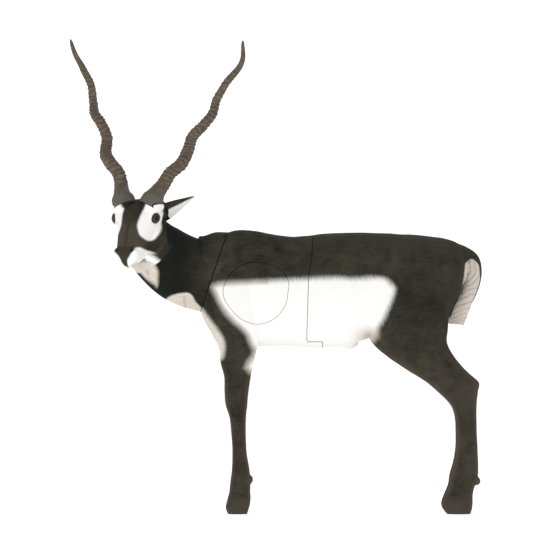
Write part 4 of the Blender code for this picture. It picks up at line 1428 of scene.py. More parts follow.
@dataclass
class CoatMap:
    """Works out where each paint lies on a skin, as one number a point and field."""

    points: np.ndarray
    normals: np.ndarray
    fields: dict[str, np.ndarray] = field(default_factory=dict)

    @property
    def flat(self) -> np.ndarray:
        """The points' places in x and z."""
        return self.points[:, [0, 2]]

    def seam_distance(self) -> np.ndarray:
        """Distance from the nearest real seam of the body, in half widths of its line."""
        point, normal = neck_plane()
        neck = np.abs((self.points - point) @ normal) / NECK_SEAM_WIDTH
        middle = line_distance(self.flat, MIDDLE_SEAM) / MIDDLE_SEAM_WIDTH
        away = self.flat - np.array(INSERT_CENTRE)
        radius = insert_radius(np.degrees(np.arctan2(away[:, 1], away[:, 0])) % 360)
        ring = np.abs(np.linalg.norm(away, axis=1) - radius) / RING_SEAM_WIDTH
        ring = np.where(np.abs(self.points[:, 1]) > 0.03, ring, 9.0)
        return np.minimum(np.minimum(neck, middle), ring)

    def leg_edge(self, table: Sequence[Sequence[float]], top: float) -> np.ndarray:
        """How close each point lies to the front or rear edge of a leg, from 0 to 1, below a height."""
        rows = np.array(table)[::-1]
        x, z = self.points[:, 0], self.points[:, 2]
        front, rear = (np.interp(z, rows[:, 0], rows[:, k]) for k in (1, 2))
        share = np.abs((x - (front + rear) / 2) / ((rear - front) / 2))
        near = (share < 1.3) & (z < top)
        return np.where(near, soft_step(share, 0.55, 1.02), 0.0) * soft_step(top - z, 0.0, 0.10)

    def body(self) -> dict[str, np.ndarray]:
        """Fields of the body's skins."""
        x, y, z = self.points.T
        flank = signed_distance(self.flat, FLANK_WHITE)
        chest = signed_distance(self.flat, CHEST_WHITE)
        inner = np.minimum(-self.normals[:, 1] * np.sign(y) - 0.45, 1.0) * 0.020
        inner = np.minimum(inner, np.minimum(z - 0.30, 0.62 - z))
        sternum = np.minimum(0.040 - np.abs(y), 0.56 - z)
        white = np.max([flank, chest, inner, np.minimum(sternum, z - 0.42)], axis=0)
        band = np.where(x < -0.02, 1 - soft_step(flank, 0.006, 0.014), 0.0) * (flank > -0.02)
        belly = soft_step(0.495 - z, 0.0, 0.030)
        thigh = np.exp(-(((x - 0.42) / 0.10) ** 2) - ((z - 0.60) / 0.09) ** 2)
        tail = signed_distance(self.flat, TAIL_PATCH)
        on_tail = (tail > -0.006) & (x > 0.48)
        white = np.where(on_tail, np.maximum(tail, white), white)
        self.fields.update(
            white=white,
            soft=np.select([on_tail, chest > flank], [0.003, 0.009], 0.013),
            ragged=np.select([on_tail, chest > flank], [0.0, 0.25], soft_step(x, -0.10, 0.02) * 0.75 + 0.25),
            cream=np.clip(0.75 * band + 0.25 * belly + (chest > flank) + on_tail, 0, 1),
            # Painted shade in the groin, under the belly in front of the hind legs
            blush=soft_step(x, 0.205, 0.285) * soft_step(0.545 - z, 0.0, 0.045) * (x < 0.33) * 0.85,
            edge=np.clip(self.leg_edge(FRONT_LEG, 0.46) + self.leg_edge(HIND_LEG, 0.50), 0, 1) * 0.70,
            hoof=1 - soft_step(z, 0.030, 0.062),
            dusk=np.maximum(soft_step(-x, 0.15, 0.28), 0.6 * thigh),
            # The seams' dark lines are painted shade of their cracks
            seam=self.seam_distance(),
            # On the body the bridge paint is painted light on the top of the back and the hip ridge, and lighter paint
            # on the hocks
            bridge=self.painted_top_light_and_pale_hocks(),
            nose=np.zeros(len(x)),
            tear=np.zeros(len(x)),
        )
        return self.fields

    def painted_top_light_and_pale_hocks(self) -> np.ndarray:
        """Painted light: lighter paint where the back's skin faces up and along the hip ridge, and lighter paint on
        the hocks.
        """
        hip = 0.45 * np.exp(-((line_distance(self.flat, HIP_RIDGE.line) / HIP_RIDGE.width) ** 2))
        top = soft_step(self.normals[:, 2], 0.45, 0.95) * soft_step(self.points[:, 0], -0.02, 0.16) * 0.55
        hock = 0.45 * np.exp(-(((self.points[:, 0] - 0.537) / 0.035) ** 2) - ((self.points[:, 2] - 0.337) / 0.05) ** 2)
        return np.where(self.points[:, 2] > 0.70, np.maximum(hip, top), hock)

    def head(self, ears: "Ears") -> dict[str, np.ndarray]:
        """Fields of the head's skin, its neck and ears.

        Args:
            ears: tells which points lie on an ear, and where.

        Returns:
            The fields.
        """
        self.body()
        x, _, z = self.points.T
        side, down, out = HEAD.face_places(self.points)
        girth = HEAD.girth_places(self.points)
        beyond = (self.points - np.array(THROAT_POINT)) @ unit(THROAT_NORMAL)
        on_head = beyond > -0.004
        ear, inside = ears.places(self.points)
        eye = np.where(on_head, signed_distance(girth, EYE_WHITE), -0.1)
        lip = np.where(on_head & (out > -0.125), signed_distance(girth, LIP_WHITE), -0.1)
        throat = np.where(~on_head, signed_distance(self.flat, THROAT_WHITE), -0.1)
        chest = signed_distance(self.flat, CHEST_WHITE)
        white = np.max([eye, lip, throat, chest], axis=0)
        white = np.where(ear > 0.5, inside, white)
        nose = np.where(on_head, soft_step(signed_distance(girth, NOSE_BLACK), -0.002, 0.004), 0.0)
        middle = np.exp(-((side / 0.0045) ** 2)) * soft_step(down, 0.03, 0.06) * (out > -0.05)
        bridge = soft_step(down, 0.060, 0.110) * soft_step(0.165 - down, 0.0, 0.012) * soft_step(out, -0.075, -0.02)
        bridge = np.where(on_head, bridge * (1 - 0.85 * middle), 0.0)
        tan = np.exp(-((girth[:, 0] - 0.036) / 0.010) ** 2 - ((down - 0.141) / 0.008) ** 2) * on_head
        tear_away = np.hypot((girth[:, 0] - 0.062) / 0.010, (down - 0.064) / 0.008)
        cheek = on_head * soft_step(-out, 0.02, 0.05) * soft_step(down, 0.08, 0.11)
        edge = np.array(JAW_EDGE)
        behind = girth[:, 0] - np.interp(down, edge[:, 0], edge[:, 1])
        # Painted highlight: a lighter line along the jaw's edge, mixed into the bridge paint
        jaw = np.exp(-(((behind + 0.0030) / 0.0018) ** 2)) * soft_step(down, 0.095, 0.110) * on_head
        neck = soft_step(-x, 0.15, 0.28)
        nape = soft_step(behind, 0.0, 0.004) * (z < 0.87)
        # Painted shade: near black in each nostril's pit, carried by the neck's black
        nostril = np.exp(-(((girth[:, 0] - 0.0275) / 0.0055) ** 2) - ((down - 0.168) / 0.0065) ** 2)
        nape = np.maximum(nape, nostril * (out > -0.05))
        shade = np.maximum(0.25 * soft_step(-down, -0.06, 0.0), 0.65 * cheek)
        chin = np.where(on_head, signed_distance(girth, CHIN_CREAM), -0.1)
        white = np.maximum(white, chin)
        # Painted shade in the creases of the throat and the chest, and a pink tint at the throat's edge
        creases = sum(np.exp(-((line_distance(self.flat, c.line) / c.width) ** 2)) for c in CREASES)
        pink = soft_step(-throat, -0.012, -0.002) * soft_step(x, -0.372, -0.345)
        self.fields.update(
            white=white,
            soft=np.select([ear > 0.5, throat > -0.02], [0.003, 0.006], 0.0038),
            ragged=np.where(on_head, 0.05, 0.2),
            cream=np.select([lip > -0.01, eye > -0.01, ear > 0.5], [soft_step(-lip, -0.001, 0.003), 0.0, 0.10], 1.0),
            blush=np.clip(0.6 * creases + np.where(throat > -0.01, 0.55 * pink, 0.0), 0, 1) * ~on_head,
            edge=np.clip(0.75 * tan + 0.12 * cheek, 0, 1),
            hoof=np.zeros(len(x)),
            dusk=np.where(on_head, np.maximum(shade, nape), neck) * (ear < 0.5),
            bridge=np.clip(bridge + 0.6 * tan + 0.7 * jaw, 0, 1),
            nose=np.clip(nose + 0.55 * middle - nostril, 0, 1),
            tear=np.clip(1.15 - tear_away, 0, 1) * 0.8 * on_head,
            # Painted shade: the dark lines of the neck seam, and painted shadow round each horn's base
            seam=np.minimum(self.seam_distance(), HORNS.seat_distance(self.points)),
        )
        return self.fields


@dataclass(frozen=True)
class Horns:
    """The pair of ringed, wavy horns, each with its own tip and bends."""

    rings: int = 38
    ring_end: float = 0.88
    ring_height: float = 0.0016
    steps: int = 900
    sides: int = 56
    seat_reach: float = 0.07

    def root(self, side: int) -> np.ndarray:
        """Middle of the base."""
        return HEAD.from_crown(side * HORN_ROOT[0], HORN_ROOT[1], HORN_ROOT[2])

    def run(self, side: int) -> np.ndarray:
        """The way from the base to the tip."""
        out, forward, up = HORN_TIPS[side]
        return HEAD.from_crown(side * out, forward, up) - self.root(side)

    def length(self, side: int) -> float:
        """Straight length from base to tip."""
        return float(np.linalg.norm(self.run(side)))

    def middle(self, side: int, share: np.ndarray) -> tuple[np.ndarray, np.ndarray, np.ndarray]:
        """The middle line: the straight one with its bends, its bow to the rear and its coil.

        Args:
            side: -1 for the right horn, 1 for the left one.
            share: places along the straight length.

        Returns:
            Its points, its radius at each of them, and the direction outwards.
        """
        along = unit(self.run(side))
        outward = unit(side * HEAD.left - np.dot(side * HEAD.left, along) * along)
        across = side * np.cross(along, outward)
        backward = side * across * -np.sign(np.dot(side * across, HEAD.forward))
        bends = smoothed(LEFT_BENDS if side > 0 else RIGHT_BENDS, 200)
        table = smoothed(HORN_RADIUS, 200)
        radius = np.interp(share, table[:, 0], table[:, 1])
        swing = COIL_RADIUS * np.clip(share / COIL_GROWS, 0, 1) * np.clip((1 - share) / COIL_FADES, 0, 1)
        swing *= np.clip(COIL_AT_ROOT - COIL_LOSS * share, 0, 1)
        turn = 2 * math.pi * (share - COIL_START) / COIL_PITCH
        bow = HORN_BOW_BACK * np.sin(math.pi * np.clip(share, 0, 1))
        centre = (
            self.root(side)
            + share[:, None] * self.run(side)
            + np.interp(share, bends[:, 0], bends[:, 1])[:, None] * outward
            + bow[:, None] * backward
            + (swing * np.sin(turn))[:, None] * across
        )
        return centre, radius, outward

    def seat_distance(self, points: np.ndarray) -> np.ndarray:
        """Distance of points near a horn's base from the horn's skin, in half widths of the joint's line.

        It is the distance to the nearest point of the middle line less the radius there.
        """
        found = np.full(len(points), 9.0)
        for side in (-1, 1):
            near = np.flatnonzero(np.linalg.norm(points - self.root(side), axis=1) < self.seat_reach)
            line, radius, _ = self.middle(side, np.linspace(-0.05, 0.12, 160))
            apart = np.linalg.norm(points[near, None] - line[None], axis=2)
            gap = np.abs((apart - radius).min(1)) / HORN_SEAM_WIDTH
            height = (points[near] - self.root(side)) @ unit(self.run(side))
            found[near] = np.where(height > -0.016, np.minimum(found[near], gap), found[near])
        return found

    def surface(self, side: int, share: np.ndarray, sides: int, ringed: bool) -> tuple[np.ndarray, np.ndarray]:
        """A tube round the wavy middle line, with slanted rings.

        The radius comes from the table, and each ring adds a crest, a power of a raised cosine.

        Args:
            side: -1 for the right horn, 1 for the left one.
            share: places along the straight length.
            sides: points round the tube.
            ringed: whether the rings are there.

        Returns:
            The rings of points, and how high each point lies on its crest, from 0 to 1.
        """
        centre, radius, outward = self.middle(side, share)
        way = np.gradient(centre, axis=0)
        way /= np.linalg.norm(way, axis=1)[:, None]
        first = np.cross(way, outward)
        first /= np.linalg.norm(first, axis=1)[:, None]
        second = np.cross(way, first)
        angle = np.linspace(0, 2 * math.pi, sides, endpoint=False)
        ring = np.cos(angle)[:, None] * first[:, None] + np.sin(angle)[:, None] * second[:, None]
        skin = centre[:, None] + radius[:, None, None] * ring
        crest = np.zeros(skin.shape[:2])
        if ringed:
            flat = skin.reshape(-1, 3)
            wobble = Ripple(0.030, 5 + side).at(flat).reshape(crest.shape)
            grain = Ripple(0.004, 9 + side).at(flat).reshape(crest.shape)
            lean = 0.32 * np.cos(angle - 1.0)[None, :] * (1 - 0.5 * share)[:, None]
            phase = self.rings * share[:, None] / self.ring_end + lean + 0.30 * wobble
            crest = (0.5 + 0.5 * np.cos(2 * math.pi * phase)) ** 2.0
            strength = soft_step(share, 0.050, 0.13) * soft_step(-share, -self.ring_end, -self.ring_end + 0.12)
            strength = strength[:, None] * (1 + 0.45 * Ripple(0.045, 21 + side).at(flat).reshape(crest.shape))
            height = self.ring_height * strength * (crest - 0.35) * np.clip(radius / 0.013, 0.5, 1.2)[:, None]
            height += 0.00022 * grain * np.clip(radius / 0.012, 0, 1)[:, None]
            skin = skin + height[..., None] * ring
            crest = crest * np.clip(strength, 0, 1) + 0.45 * (1 - np.clip(strength, 0, 1)) + 0.10 * grain
        return skin, crest

    def plug(self, side: int, grow: float) -> Shell:
        """The lower end of the horn, a little larger, which cuts its seat in the head."""
        share = np.linspace(-HORN_SINK / self.length(side) - 0.002, 0.30, 60)
        skin, _ = self.surface(side, share, 48, False)
        middle = skin.mean(1, keepdims=True)
        away = skin - middle
        return Shell.loft(middle + away * (1 + grow / np.linalg.norm(away, axis=-1, keepdims=True)))

    def height_over(self, points: np.ndarray, head: Foam, side: int) -> np.ndarray:
        """Height of a horn's points over the head's skin, in half widths of the joint's line.

        It is the way from the nearest point of the skin, taken along the normal there.

        Args:
            points: the horn's points.
            head: the head before the horns' seats are cut.
            side: -1 for the right horn, 1 for the left one.

        Returns:
            The heights, nine where a point is far from the head.
        """
        found = np.full(len(points), 9.0)
        low = np.flatnonzero(np.linalg.norm(points - self.root(side), axis=1) < self.seat_reach)
        close = np.linalg.norm(head.points - self.root(side), axis=1) < self.seat_reach
        skin, normals = head.points[close], head.normals[close]
        for part in np.array_split(low, max(len(low) // 500, 1)):
            squares = (skin**2).sum(1) - 2 * points[part] @ skin.T
            nearest = squares.argmin(1)
            found[part] = ((points[part] - skin[nearest]) * normals[nearest]).sum(1) / HORN_SEAM_WIDTH
        return found

    def build(self, side: int, name: str, material: bpy.types.Material, head: Foam) -> bpy.types.Object:
        """Builds one horn.

        Args:
            side: -1 for the right horn, 1 for the left one.
            name: the piece's name.
            material: its paint.
            head: the head before the horns' seats are cut.

        Returns:
            The piece.
        """
        share = np.concatenate([
            np.linspace(-HORN_SINK / self.length(side), 0.04, 60, endpoint=False),
            np.linspace(0.04, 1.0, self.steps),
        ])
        skin, crest = self.surface(side, share, self.sides, True)
        foam = Foam(Shell.loft(skin).mesh(name))
        base = np.repeat(1 - soft_step(share, 0.015, 0.060), self.sides)
        fields = {
            "crest": np.concatenate([crest.ravel(), [0.0, 0.4]]),
            "base": np.concatenate([base, [1.0, 0.0]]),
            # Painted shadow: the dark line where the horn leaves the head's skin
            "seam": self.height_over(foam.points, head, side),
        }
        return piece_of(name, foam, fields, material)


HORNS = Horns()


@dataclass(frozen=True)
class Ears:
    """The two ears, cupped leaves of foam that belong to the head's skin."""

    rows: int = 40
    columns: int = 26

    def axes(self, side: int) -> tuple[np.ndarray, np.ndarray, np.ndarray, np.ndarray]:
        """Root, direction to the tip, direction out of the hollow and direction across."""
        flat = -math.cos(EAR_SWEEP) * HEAD.forward + math.sin(EAR_SWEEP) * side * HEAD.left
        along = math.cos(EAR_LIFT) * flat + math.sin(EAR_LIFT) * HEAD.up
        facing = side * HEAD.left + EAR_FRONT * HEAD.forward
        hollow = unit(facing - np.dot(facing, along) * along)
        root = HEAD.from_crown(side * EAR_ROOT[0], EAR_ROOT[1], EAR_ROOT[2]) - EAR_SINK * along
        return root, along, hollow, np.cross(along, hollow)

    @staticmethod
    def leaf(t: np.ndarray) -> np.ndarray:
        """Share of the ear's full width: even along it to a point at the tip, with a waist at the root."""
        rest = 1 - np.clip(t, 0, 1)
        return EAR_TAPER * rest * (1 - EAR_WAIST * rest**6)

    def shell(self, side: int) -> Shell:
        """A pointed leaf, bent across like a parabola."""
        root, along, hollow, wide = self.axes(side)
        t, s = np.meshgrid(np.linspace(0, 1, self.rows), np.linspace(-1, 1, self.columns), indexing="ij")
        leaf = self.leaf(t)
        half = EAR_HALF_WIDTH * leaf + EAR_EDGE
        middle = root + ((EAR_LENGTH + EAR_SINK) * t)[..., None] * along
        back = (s**2 - 0.75) * EAR_CUP * leaf
        sheet = middle + (half * s)[..., None] * wide + back[..., None] * hollow
        foam = EAR_FOAM * (1 - 0.45 * t) * (1 - 0.35 * s**2)
        push = (0.5 * foam)[..., None] * hollow
        return Shell.sheet(sheet + push, sheet - push)

    def places(self, points: np.ndarray) -> tuple[np.ndarray, np.ndarray]:
        """Which points lie on an ear, and how far inside its white they lie.

        Args:
            points: places in the maker's frame.

        Returns:
            One where a point is on an ear, and its distance inside the ear's white, negative outside.
        """
        on_ear = np.zeros(len(points))
        inside = np.full(len(points), -0.1)
        for side in (-1, 1):
            root, along, hollow, wide = self.axes(side)
            away = points - root
            t = away @ along / (EAR_LENGTH + EAR_SINK)
            across = away @ wide
            deep = away @ hollow
            leaf = self.leaf(t)
            half = EAR_HALF_WIDTH * leaf + EAR_EDGE
            sheet = ((across / half) ** 2 - 0.75) * EAR_CUP * leaf
            here = (t > 0.16) & (t < 1.1) & (np.abs(across) < half + 0.004) & (np.abs(deep - sheet) < 0.008)
            lower = np.where(wide[2] > 0, -across, across)
            front = np.where(deep > sheet, 0.02, -0.02)
            on_ear = np.where(here, 1.0, on_ear)
            inside = np.where(here, np.minimum(lower, front), inside)
        return on_ear, inside


def lid_shell(side: int) -> Shell:
    """The lids as a ring round the eye's oval."""
    centre = HEAD.on_face(side * EYE[0], EYE[1], EYE[2])
    facing, along, across = HEAD.eye_axes(side)
    rows, columns = 48, 16
    a, t = np.meshgrid(
        np.linspace(0, 2 * math.pi, rows, endpoint=False),
        np.linspace(0, 2 * math.pi, columns, endpoint=False),
        indexing="ij",
    )
    off = LID_OFF + LID_THICKNESS * np.cos(t)
    points = (
        centre
        + ((EYE_RADII[1] + off) * np.cos(a))[..., None] * along
        + ((EYE_RADII[2] + off) * np.sin(a))[..., None] * across
        + (LID_THICKNESS * np.sin(t))[..., None] * facing
    )
    index = np.arange(rows * columns).reshape(rows, columns)
    below, right = np.roll(index, -1, 0), np.roll(index, -1, 1)
    corner = np.roll(below, -1, 1)
    faces = np.stack([index, below, corner, right], -1).reshape(-1, 4)
    return Shell(points.reshape(-1, 3), faces.tolist())


def head_lump(table: Sequence[float], side: int) -> Shell:
    """A rounded lump of the head on one side."""
    centre = HEAD.on_face(side * table[0], table[1], table[2])
    return Shell.ball(centre, (HEAD.left, HEAD.down_face, HEAD.out_face), table[3:])


def skull_shell() -> Shell:
    """Skull and muzzle as superellipse sections square to the line of the face."""
    rows = smoothed(SKULL, 100)
    across, up = oval(60, power=SKULL_POWER, taper=SKULL_TAPER)
    down, fore, jaw, half = rows.T
    centre = HEAD.crown + down[:, None] * HEAD.down_face + ((fore + jaw) / 2)[:, None] * HEAD.out_face
    wide = half[:, None, None] * across[:, None] * HEAD.left
    tall = ((fore - jaw) / 2)[:, None, None] * up[:, None] * HEAD.out_face
    return Shell.loft(centre[:, None] + wide + tall)


def face_relief(points: np.ndarray, normals: np.ndarray) -> np.ndarray:
    """Height of the head's fine relief at each point.

    The mouth is a line whose place out of the face rises evenly from its corner to the lips. Each nostril
    is an oval pit that leans inwards towards the lips. A shallow channel runs down the middle of the nose.
    """
    side, down, out = HEAD.face_places(points)
    mouth = out - np.interp(down, (MOUTH_CORNER, MOUTH_BEND), (MOUTH_REAR, MOUTH_FRONT))
    fade = soft_step(down, MOUTH_CORNER - 0.006, MOUTH_CORNER)
    height = -MOUTH_DEPTH * np.exp(-((mouth / MOUTH_WIDTH) ** 2)) * fade
    height += sum(crease.at(points, normals) for crease in CREASES)
    girth = HEAD.girth_places(points)
    hollow = np.exp(-(((girth[:, 0] - 0.128) / 0.014) ** 2) - ((down - 0.147) / 0.012) ** 2)
    height += 0.0030 * hollow * (out > -0.12)
    hump = np.exp(-(((points[:, 0] + 0.200) / 0.020) ** 2)) * soft_step(normals[:, 2], 0.3, 0.9)
    height -= 0.0060 * hump * (points[:, 2] > 0.74)
    place, low, long, short, deep = NOSTRIL
    away_side, away_down = np.abs(side) - place, down - low
    lean = math.radians(35.0)
    along = away_down * math.cos(lean) - away_side * math.sin(lean)
    across = away_down * math.sin(lean) + away_side * math.cos(lean)
    pit = np.exp(-((along / long) ** 2) - (across / short) ** 2) * (out > -0.035)
    rim = np.exp(-((along / (1.7 * long)) ** 2) - (across / (2.4 * short)) ** 2) * (out > -0.035)
    height += 0.0024 * rim - (deep + 0.0024) * pit
    channel = np.exp(-((side / 0.0022) ** 2)) * soft_step(down, 0.165, 0.180) * (out > -0.045)
    height -= 0.0014 * channel
    jaw = np.exp(-(((out + 0.098) / 0.010) ** 2)) * soft_step(down, 0.02, 0.05) * soft_step(-down, -0.14, -0.10)
    height += 0.0016 * jaw * (np.abs(side) > 0.02)
    return height


def open_eyes(foam: Foam) -> None:
    """Sinks the skin behind each eye and raises a thin lid round it.

    In the eye's own plane the reach is one on the eye's outline. Inside it the skin is held below the
    eye's ball, and just outside it a narrow bell raises the lid.
    """
    points = foam.points
    for side in (-1, 1):
        height, reach = HEAD.eye_places(points, side)
        ball = EYE_RADII[0] * np.sqrt(np.clip(1 - reach**2, 0, 1)) - 0.0030
        sunk = (np.minimum(height, ball) - height) * soft_step(-reach, -1.04, -0.92)
        lid = 0.0010 * np.exp(-(((reach - 1.12) / 0.10) ** 2))
        near = (height > -0.025) & (reach < 1.7)
        points = points + np.where(near, sunk + lid, 0.0)[:, None] * HEAD.eye_axes(side)[0]
    foam.points = points


def piece_of(
    name: str,
    foam: Foam,
    fields: dict[str, np.ndarray],
    material: bpy.types.Material,
) -> bpy.types.Object:
    """Makes a finished piece from foam in the maker's frame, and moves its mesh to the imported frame.

    Args:
        name: the piece's name.
        foam: its foam.
        fields: numbers that its points carry.
        material: its paint.

    Returns:
        The piece, which rides on the target.
    """
    mesh = foam.mesh
    mesh.name = name
    for label, values in fields.items():
        attribute = mesh.attributes.new(label, "FLOAT", "POINT")
        attribute.data.foreach_set("value", np.asarray(values, dtype=np.float32))
    mesh.transform(Matrix.Translation(Vector(SHIFT)))
    held = np.clip(foam.points, np.array(CAD_BOX[0]), np.array(CAD_BOX[1]))
    pulled = np.abs(held - foam.points).max(axis=1)
    foam.points = held
    mesh.materials.clear()
    mesh.materials.append(material)
    mesh.shade_smooth()
    mesh.set_sharp_from_angle(angle=math.radians(50))
    piece = bpy.data.objects.new(name, mesh)
    bpy.context.scene.collection.objects.link(piece)
    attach(piece, "root")
    log.info("%s: %d triangles", name, len(mesh.loops) - 2 * len(mesh.polygons))
    log.info("%s: %d points held inside the box, %.2f mm at most", name, (pulled > 0).sum(), 1000 * pulled.max())
    return piece


@dataclass
class HeadAndNeck:
    """Head, neck and ears in one skin, with the eyes and the horns."""

    coat: bpy.types.Material
    ears: Ears = field(default_factory=Ears)

    def flesh(self) -> Foam:
        """The skin before it is cut at the neck seam."""
        shells = [skull_shell(), neck_shell(), torso_shell(), head_lump(CHIN, 1)]
        shells.append(Shell.ball(np.array((-0.218, -0.003, 0.765)), np.eye(3), (0.048, 0.036, 0.0225)))
        up_axes = (HEAD.left, HEAD.forward, HEAD.up)
        for side in (-1, 1):
            shells += [head_lump(table, side) for table in (BROW, CHEEK, NOSE, LIP)]
            shells += [leg_shell(FRONT_LEG, side), lid_shell(side), self.ears.shell(side)]
            boss = HEAD.from_crown(side * HORN_ROOT[0], HORN_ROOT[1], HORN_ROOT[2] - BOSS_DROP)
            shells.append(Shell.ball(boss, up_axes, BOSS_RADII))
            ear_root = HEAD.from_crown(side * (EAR_ROOT[0] - EAR_INSET), EAR_ROOT[1] + EAR_INSET, EAR_ROOT[2])
            shells.append(Shell.ball(ear_root, up_axes, EAR_ROOT_RADII))
            axes = HEAD.eye_axes(side)
            orbit = HEAD.on_face(side * EYE[0], EYE[1], EYE[2]) - ORBIT_SINK * axes[0]
            shells.append(Shell.ball(orbit, axes, ORBIT_RADII))
        trimmed = [self.ahead_of_shoulder(shell) for shell in shells]
        foam = Foam(Shell.joined(trimmed).mesh("head")).fuse(HEAD_CELL).soften(HEAD_ROUNDS)
        return foam

    @staticmethod
    def ahead_of_shoulder(shell: Shell) -> Shell:
        """The shell with what lies behind the shoulder and below the elbow drawn up to it, to save work."""
        points = shell.points.copy()
        points[:, 0] = np.minimum(points[:, 0], -0.040 + 0.02 * (points[:, 0] + 0.040))
        low = points[:, 2] < 0.500
        points[low, 2] = 0.500 + 0.02 * (points[low, 2] - 0.500)
        return Shell(points, shell.faces)

    def build(self) -> list[bpy.types.Object]:
        """Builds the skin, the eyes and the horns.

        Returns:
            The pieces.
        """
        foam = self.flesh()
        open_eyes(foam)
        foam.carve(face_relief)
        uncut = foam.copy()
        for side in (-1, 1):
            foam.cut(HORNS.plug(side, 0.0001), Cut.TAKE)
        gap = SEAM_HALF_GAP
        line = [neck_seam_at(1.30), neck_seam_at(0.40)]
        outline = [(x - gap, z) for x, z in line] + [(-1.2, 0.40), (-1.2, 1.30)]
        foam.cut(Shell.prism(outline, 0.5), Cut.KEEP).largest()
        fields = CoatMap(foam.points, foam.normals).head(self.ears)
        skin = piece_of("head_and_neck_skin", foam, fields, self.coat)
        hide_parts("head", "neck", "ear_left", "ear_right")
        return [skin] + self.build_eyes() + self.build_horns(uncut)

    @staticmethod
    def build_eyes() -> list[bpy.types.Object]:
        """The two eyes as finer balls of the same size."""
        paint = EyeFinish().build()
        pieces = []
        for side, word in ((-1, "right"), (1, "left")):
            centre = HEAD.on_face(side * EYE[0], EYE[1], EYE[2])
            foam = Foam(Shell.ball(centre, HEAD.eye_axes(side), EYE_RADII, 48, 72).mesh("eye"))
            _, around = HEAD.eye_places(foam.points, side)
            piece = piece_of(f"eyeball_{word}", foam, {"around": around}, paint)
            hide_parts(f"eye_{word}")
            pieces.append(piece)
        return pieces

    @staticmethod
    def build_horns(head: Foam) -> list[bpy.types.Object]:
        """The two horns, each with a dark line of painted shadow where it leaves the uncut head."""
        paint = HornFinish().build()
        pieces = []
        for side, word in ((-1, "right"), (1, "left")):
            piece = HORNS.build(side, f"ringed_horn_{word}", paint, head)
            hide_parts(f"horn_{word}")
            pieces.append(piece)
        return pieces


@dataclass
class Body:
    """Front and rear body with their legs, and the round insert."""

    coat: bpy.types.Material

    def flesh(self) -> Foam:
        """Torso, neck root and four legs in one skin, before it is parted."""
        shells = [torso_shell(), neck_shell(), Shell.loft(tail_ovals(80, 60)[0])]
        shells.append(Shell.ball(np.array((SHEATH[0], 0.0, SHEATH[1])), np.eye(3), SHEATH[2:]))
        for side in (-1, 1):
            shells += [leg_shell(FRONT_LEG, side), leg_shell(HIND_LEG, side)]
            shells += dewclaw_shells(FRONT_DEWCLAW, side) + dewclaw_shells(HIND_DEWCLAW, side)
        return Foam(Shell.joined(shells).mesh("body")).fuse(BODY_CELL).soften(BODY_ROUNDS)

    @staticmethod
    def relief(points: np.ndarray, normals: np.ndarray) -> np.ndarray:
        """Height of the body's relief: the sum of its strokes and a faint ripple."""
        height = sum(stroke.at(points, normals) for stroke in BODY_STROKES + (HIP_RIDGE,))
        return height + 0.00045 * Ripple(0.060, 3).at(points)

    def build(self) -> list[bpy.types.Object]:
        """Builds the three skins.

        Returns:
            The pieces.
        """
        foam = self.flesh().carve(self.relief)
        for side in (-1, 1):
            foam.cut(cleft_block(FRONT_CLEFT, side), Cut.TAKE)
            foam.cut(cleft_block(HIND_CLEFT, side), Cut.TAKE)
        gap = SEAM_HALF_GAP
        neck_line = [(x + gap, z) for x, z in (neck_seam_at(0.90), neck_seam_at(0.0))]
        before = [(x - gap, z - gap if 0 < z < 0.9 else z) for x, z in MIDDLE_SEAM]
        behind = [(x + gap, z + gap if 0 < z < 0.9 else z) for x, z in MIDDLE_SEAM]
        rear = foam.copy().cut(Shell.prism(behind + [(0.8, 0.0), (0.8, 0.9)], 0.4), Cut.KEEP)
        front = foam.cut(Shell.prism(before + neck_line[::-1], 0.4), Cut.KEEP)
        insert = front.copy().cut(self.insert_block(-gap), Cut.KEEP)
        front.cut(self.insert_block(gap), Cut.TAKE)
        pieces = []
        for name, part, nodes, slot in (
            ("front_body_skin", front, ("torso_front", "front_leg_left", "front_leg_right"), "dark_coat"),
            ("insert_skin", insert, ("target_insert",), "insert_coat"),
            ("rear_body_skin", rear, ("torso_rear", "hind_leg_left", "hind_leg_right"), "dark_coat"),
        ):
            part.largest()
            fields = CoatMap(part.points, part.normals).body()
            piece = piece_of(name, part, fields, self.coat)
            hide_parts(*nodes)
            pieces.append(piece)
        return pieces

    @staticmethod
    def insert_block(grow: float) -> Shell:
        """The block of the insert, from flank to flank."""
        return Shell.prism(insert_outline(grow, 132), 0.4)


def tail_ovals(steps: int, sides: int) -> tuple[np.ndarray, np.ndarray, np.ndarray]:
    """The tail's smooth shape: ovals square to its middle line.

    Args:
        steps: number of ovals.
        sides: points on each of them.

    Returns:
        The rings of points, each point's distance to the front of the middle line, and the places across.
    """
    rows = smoothed(TAIL, steps)
    centre = np.stack([rows[:, 0], np.zeros(len(rows)), rows[:, 1]], -1)
    along = np.gradient(centre, axis=0)
    along /= np.linalg.norm(along, axis=1)[:, None]
    front = np.cross((0.0, 1.0, 0.0), along)
    across, up = oval(sides, power=2.4)
    deep, half = rows[:, 2, None, None], rows[:, 3, None, None]
    skin = centre[:, None] + half * across[:, None] * np.array((0.0, 1.0, 0.0)) + deep * up[:, None] * front[:, None]
    return skin, deep[..., 0] * up, across


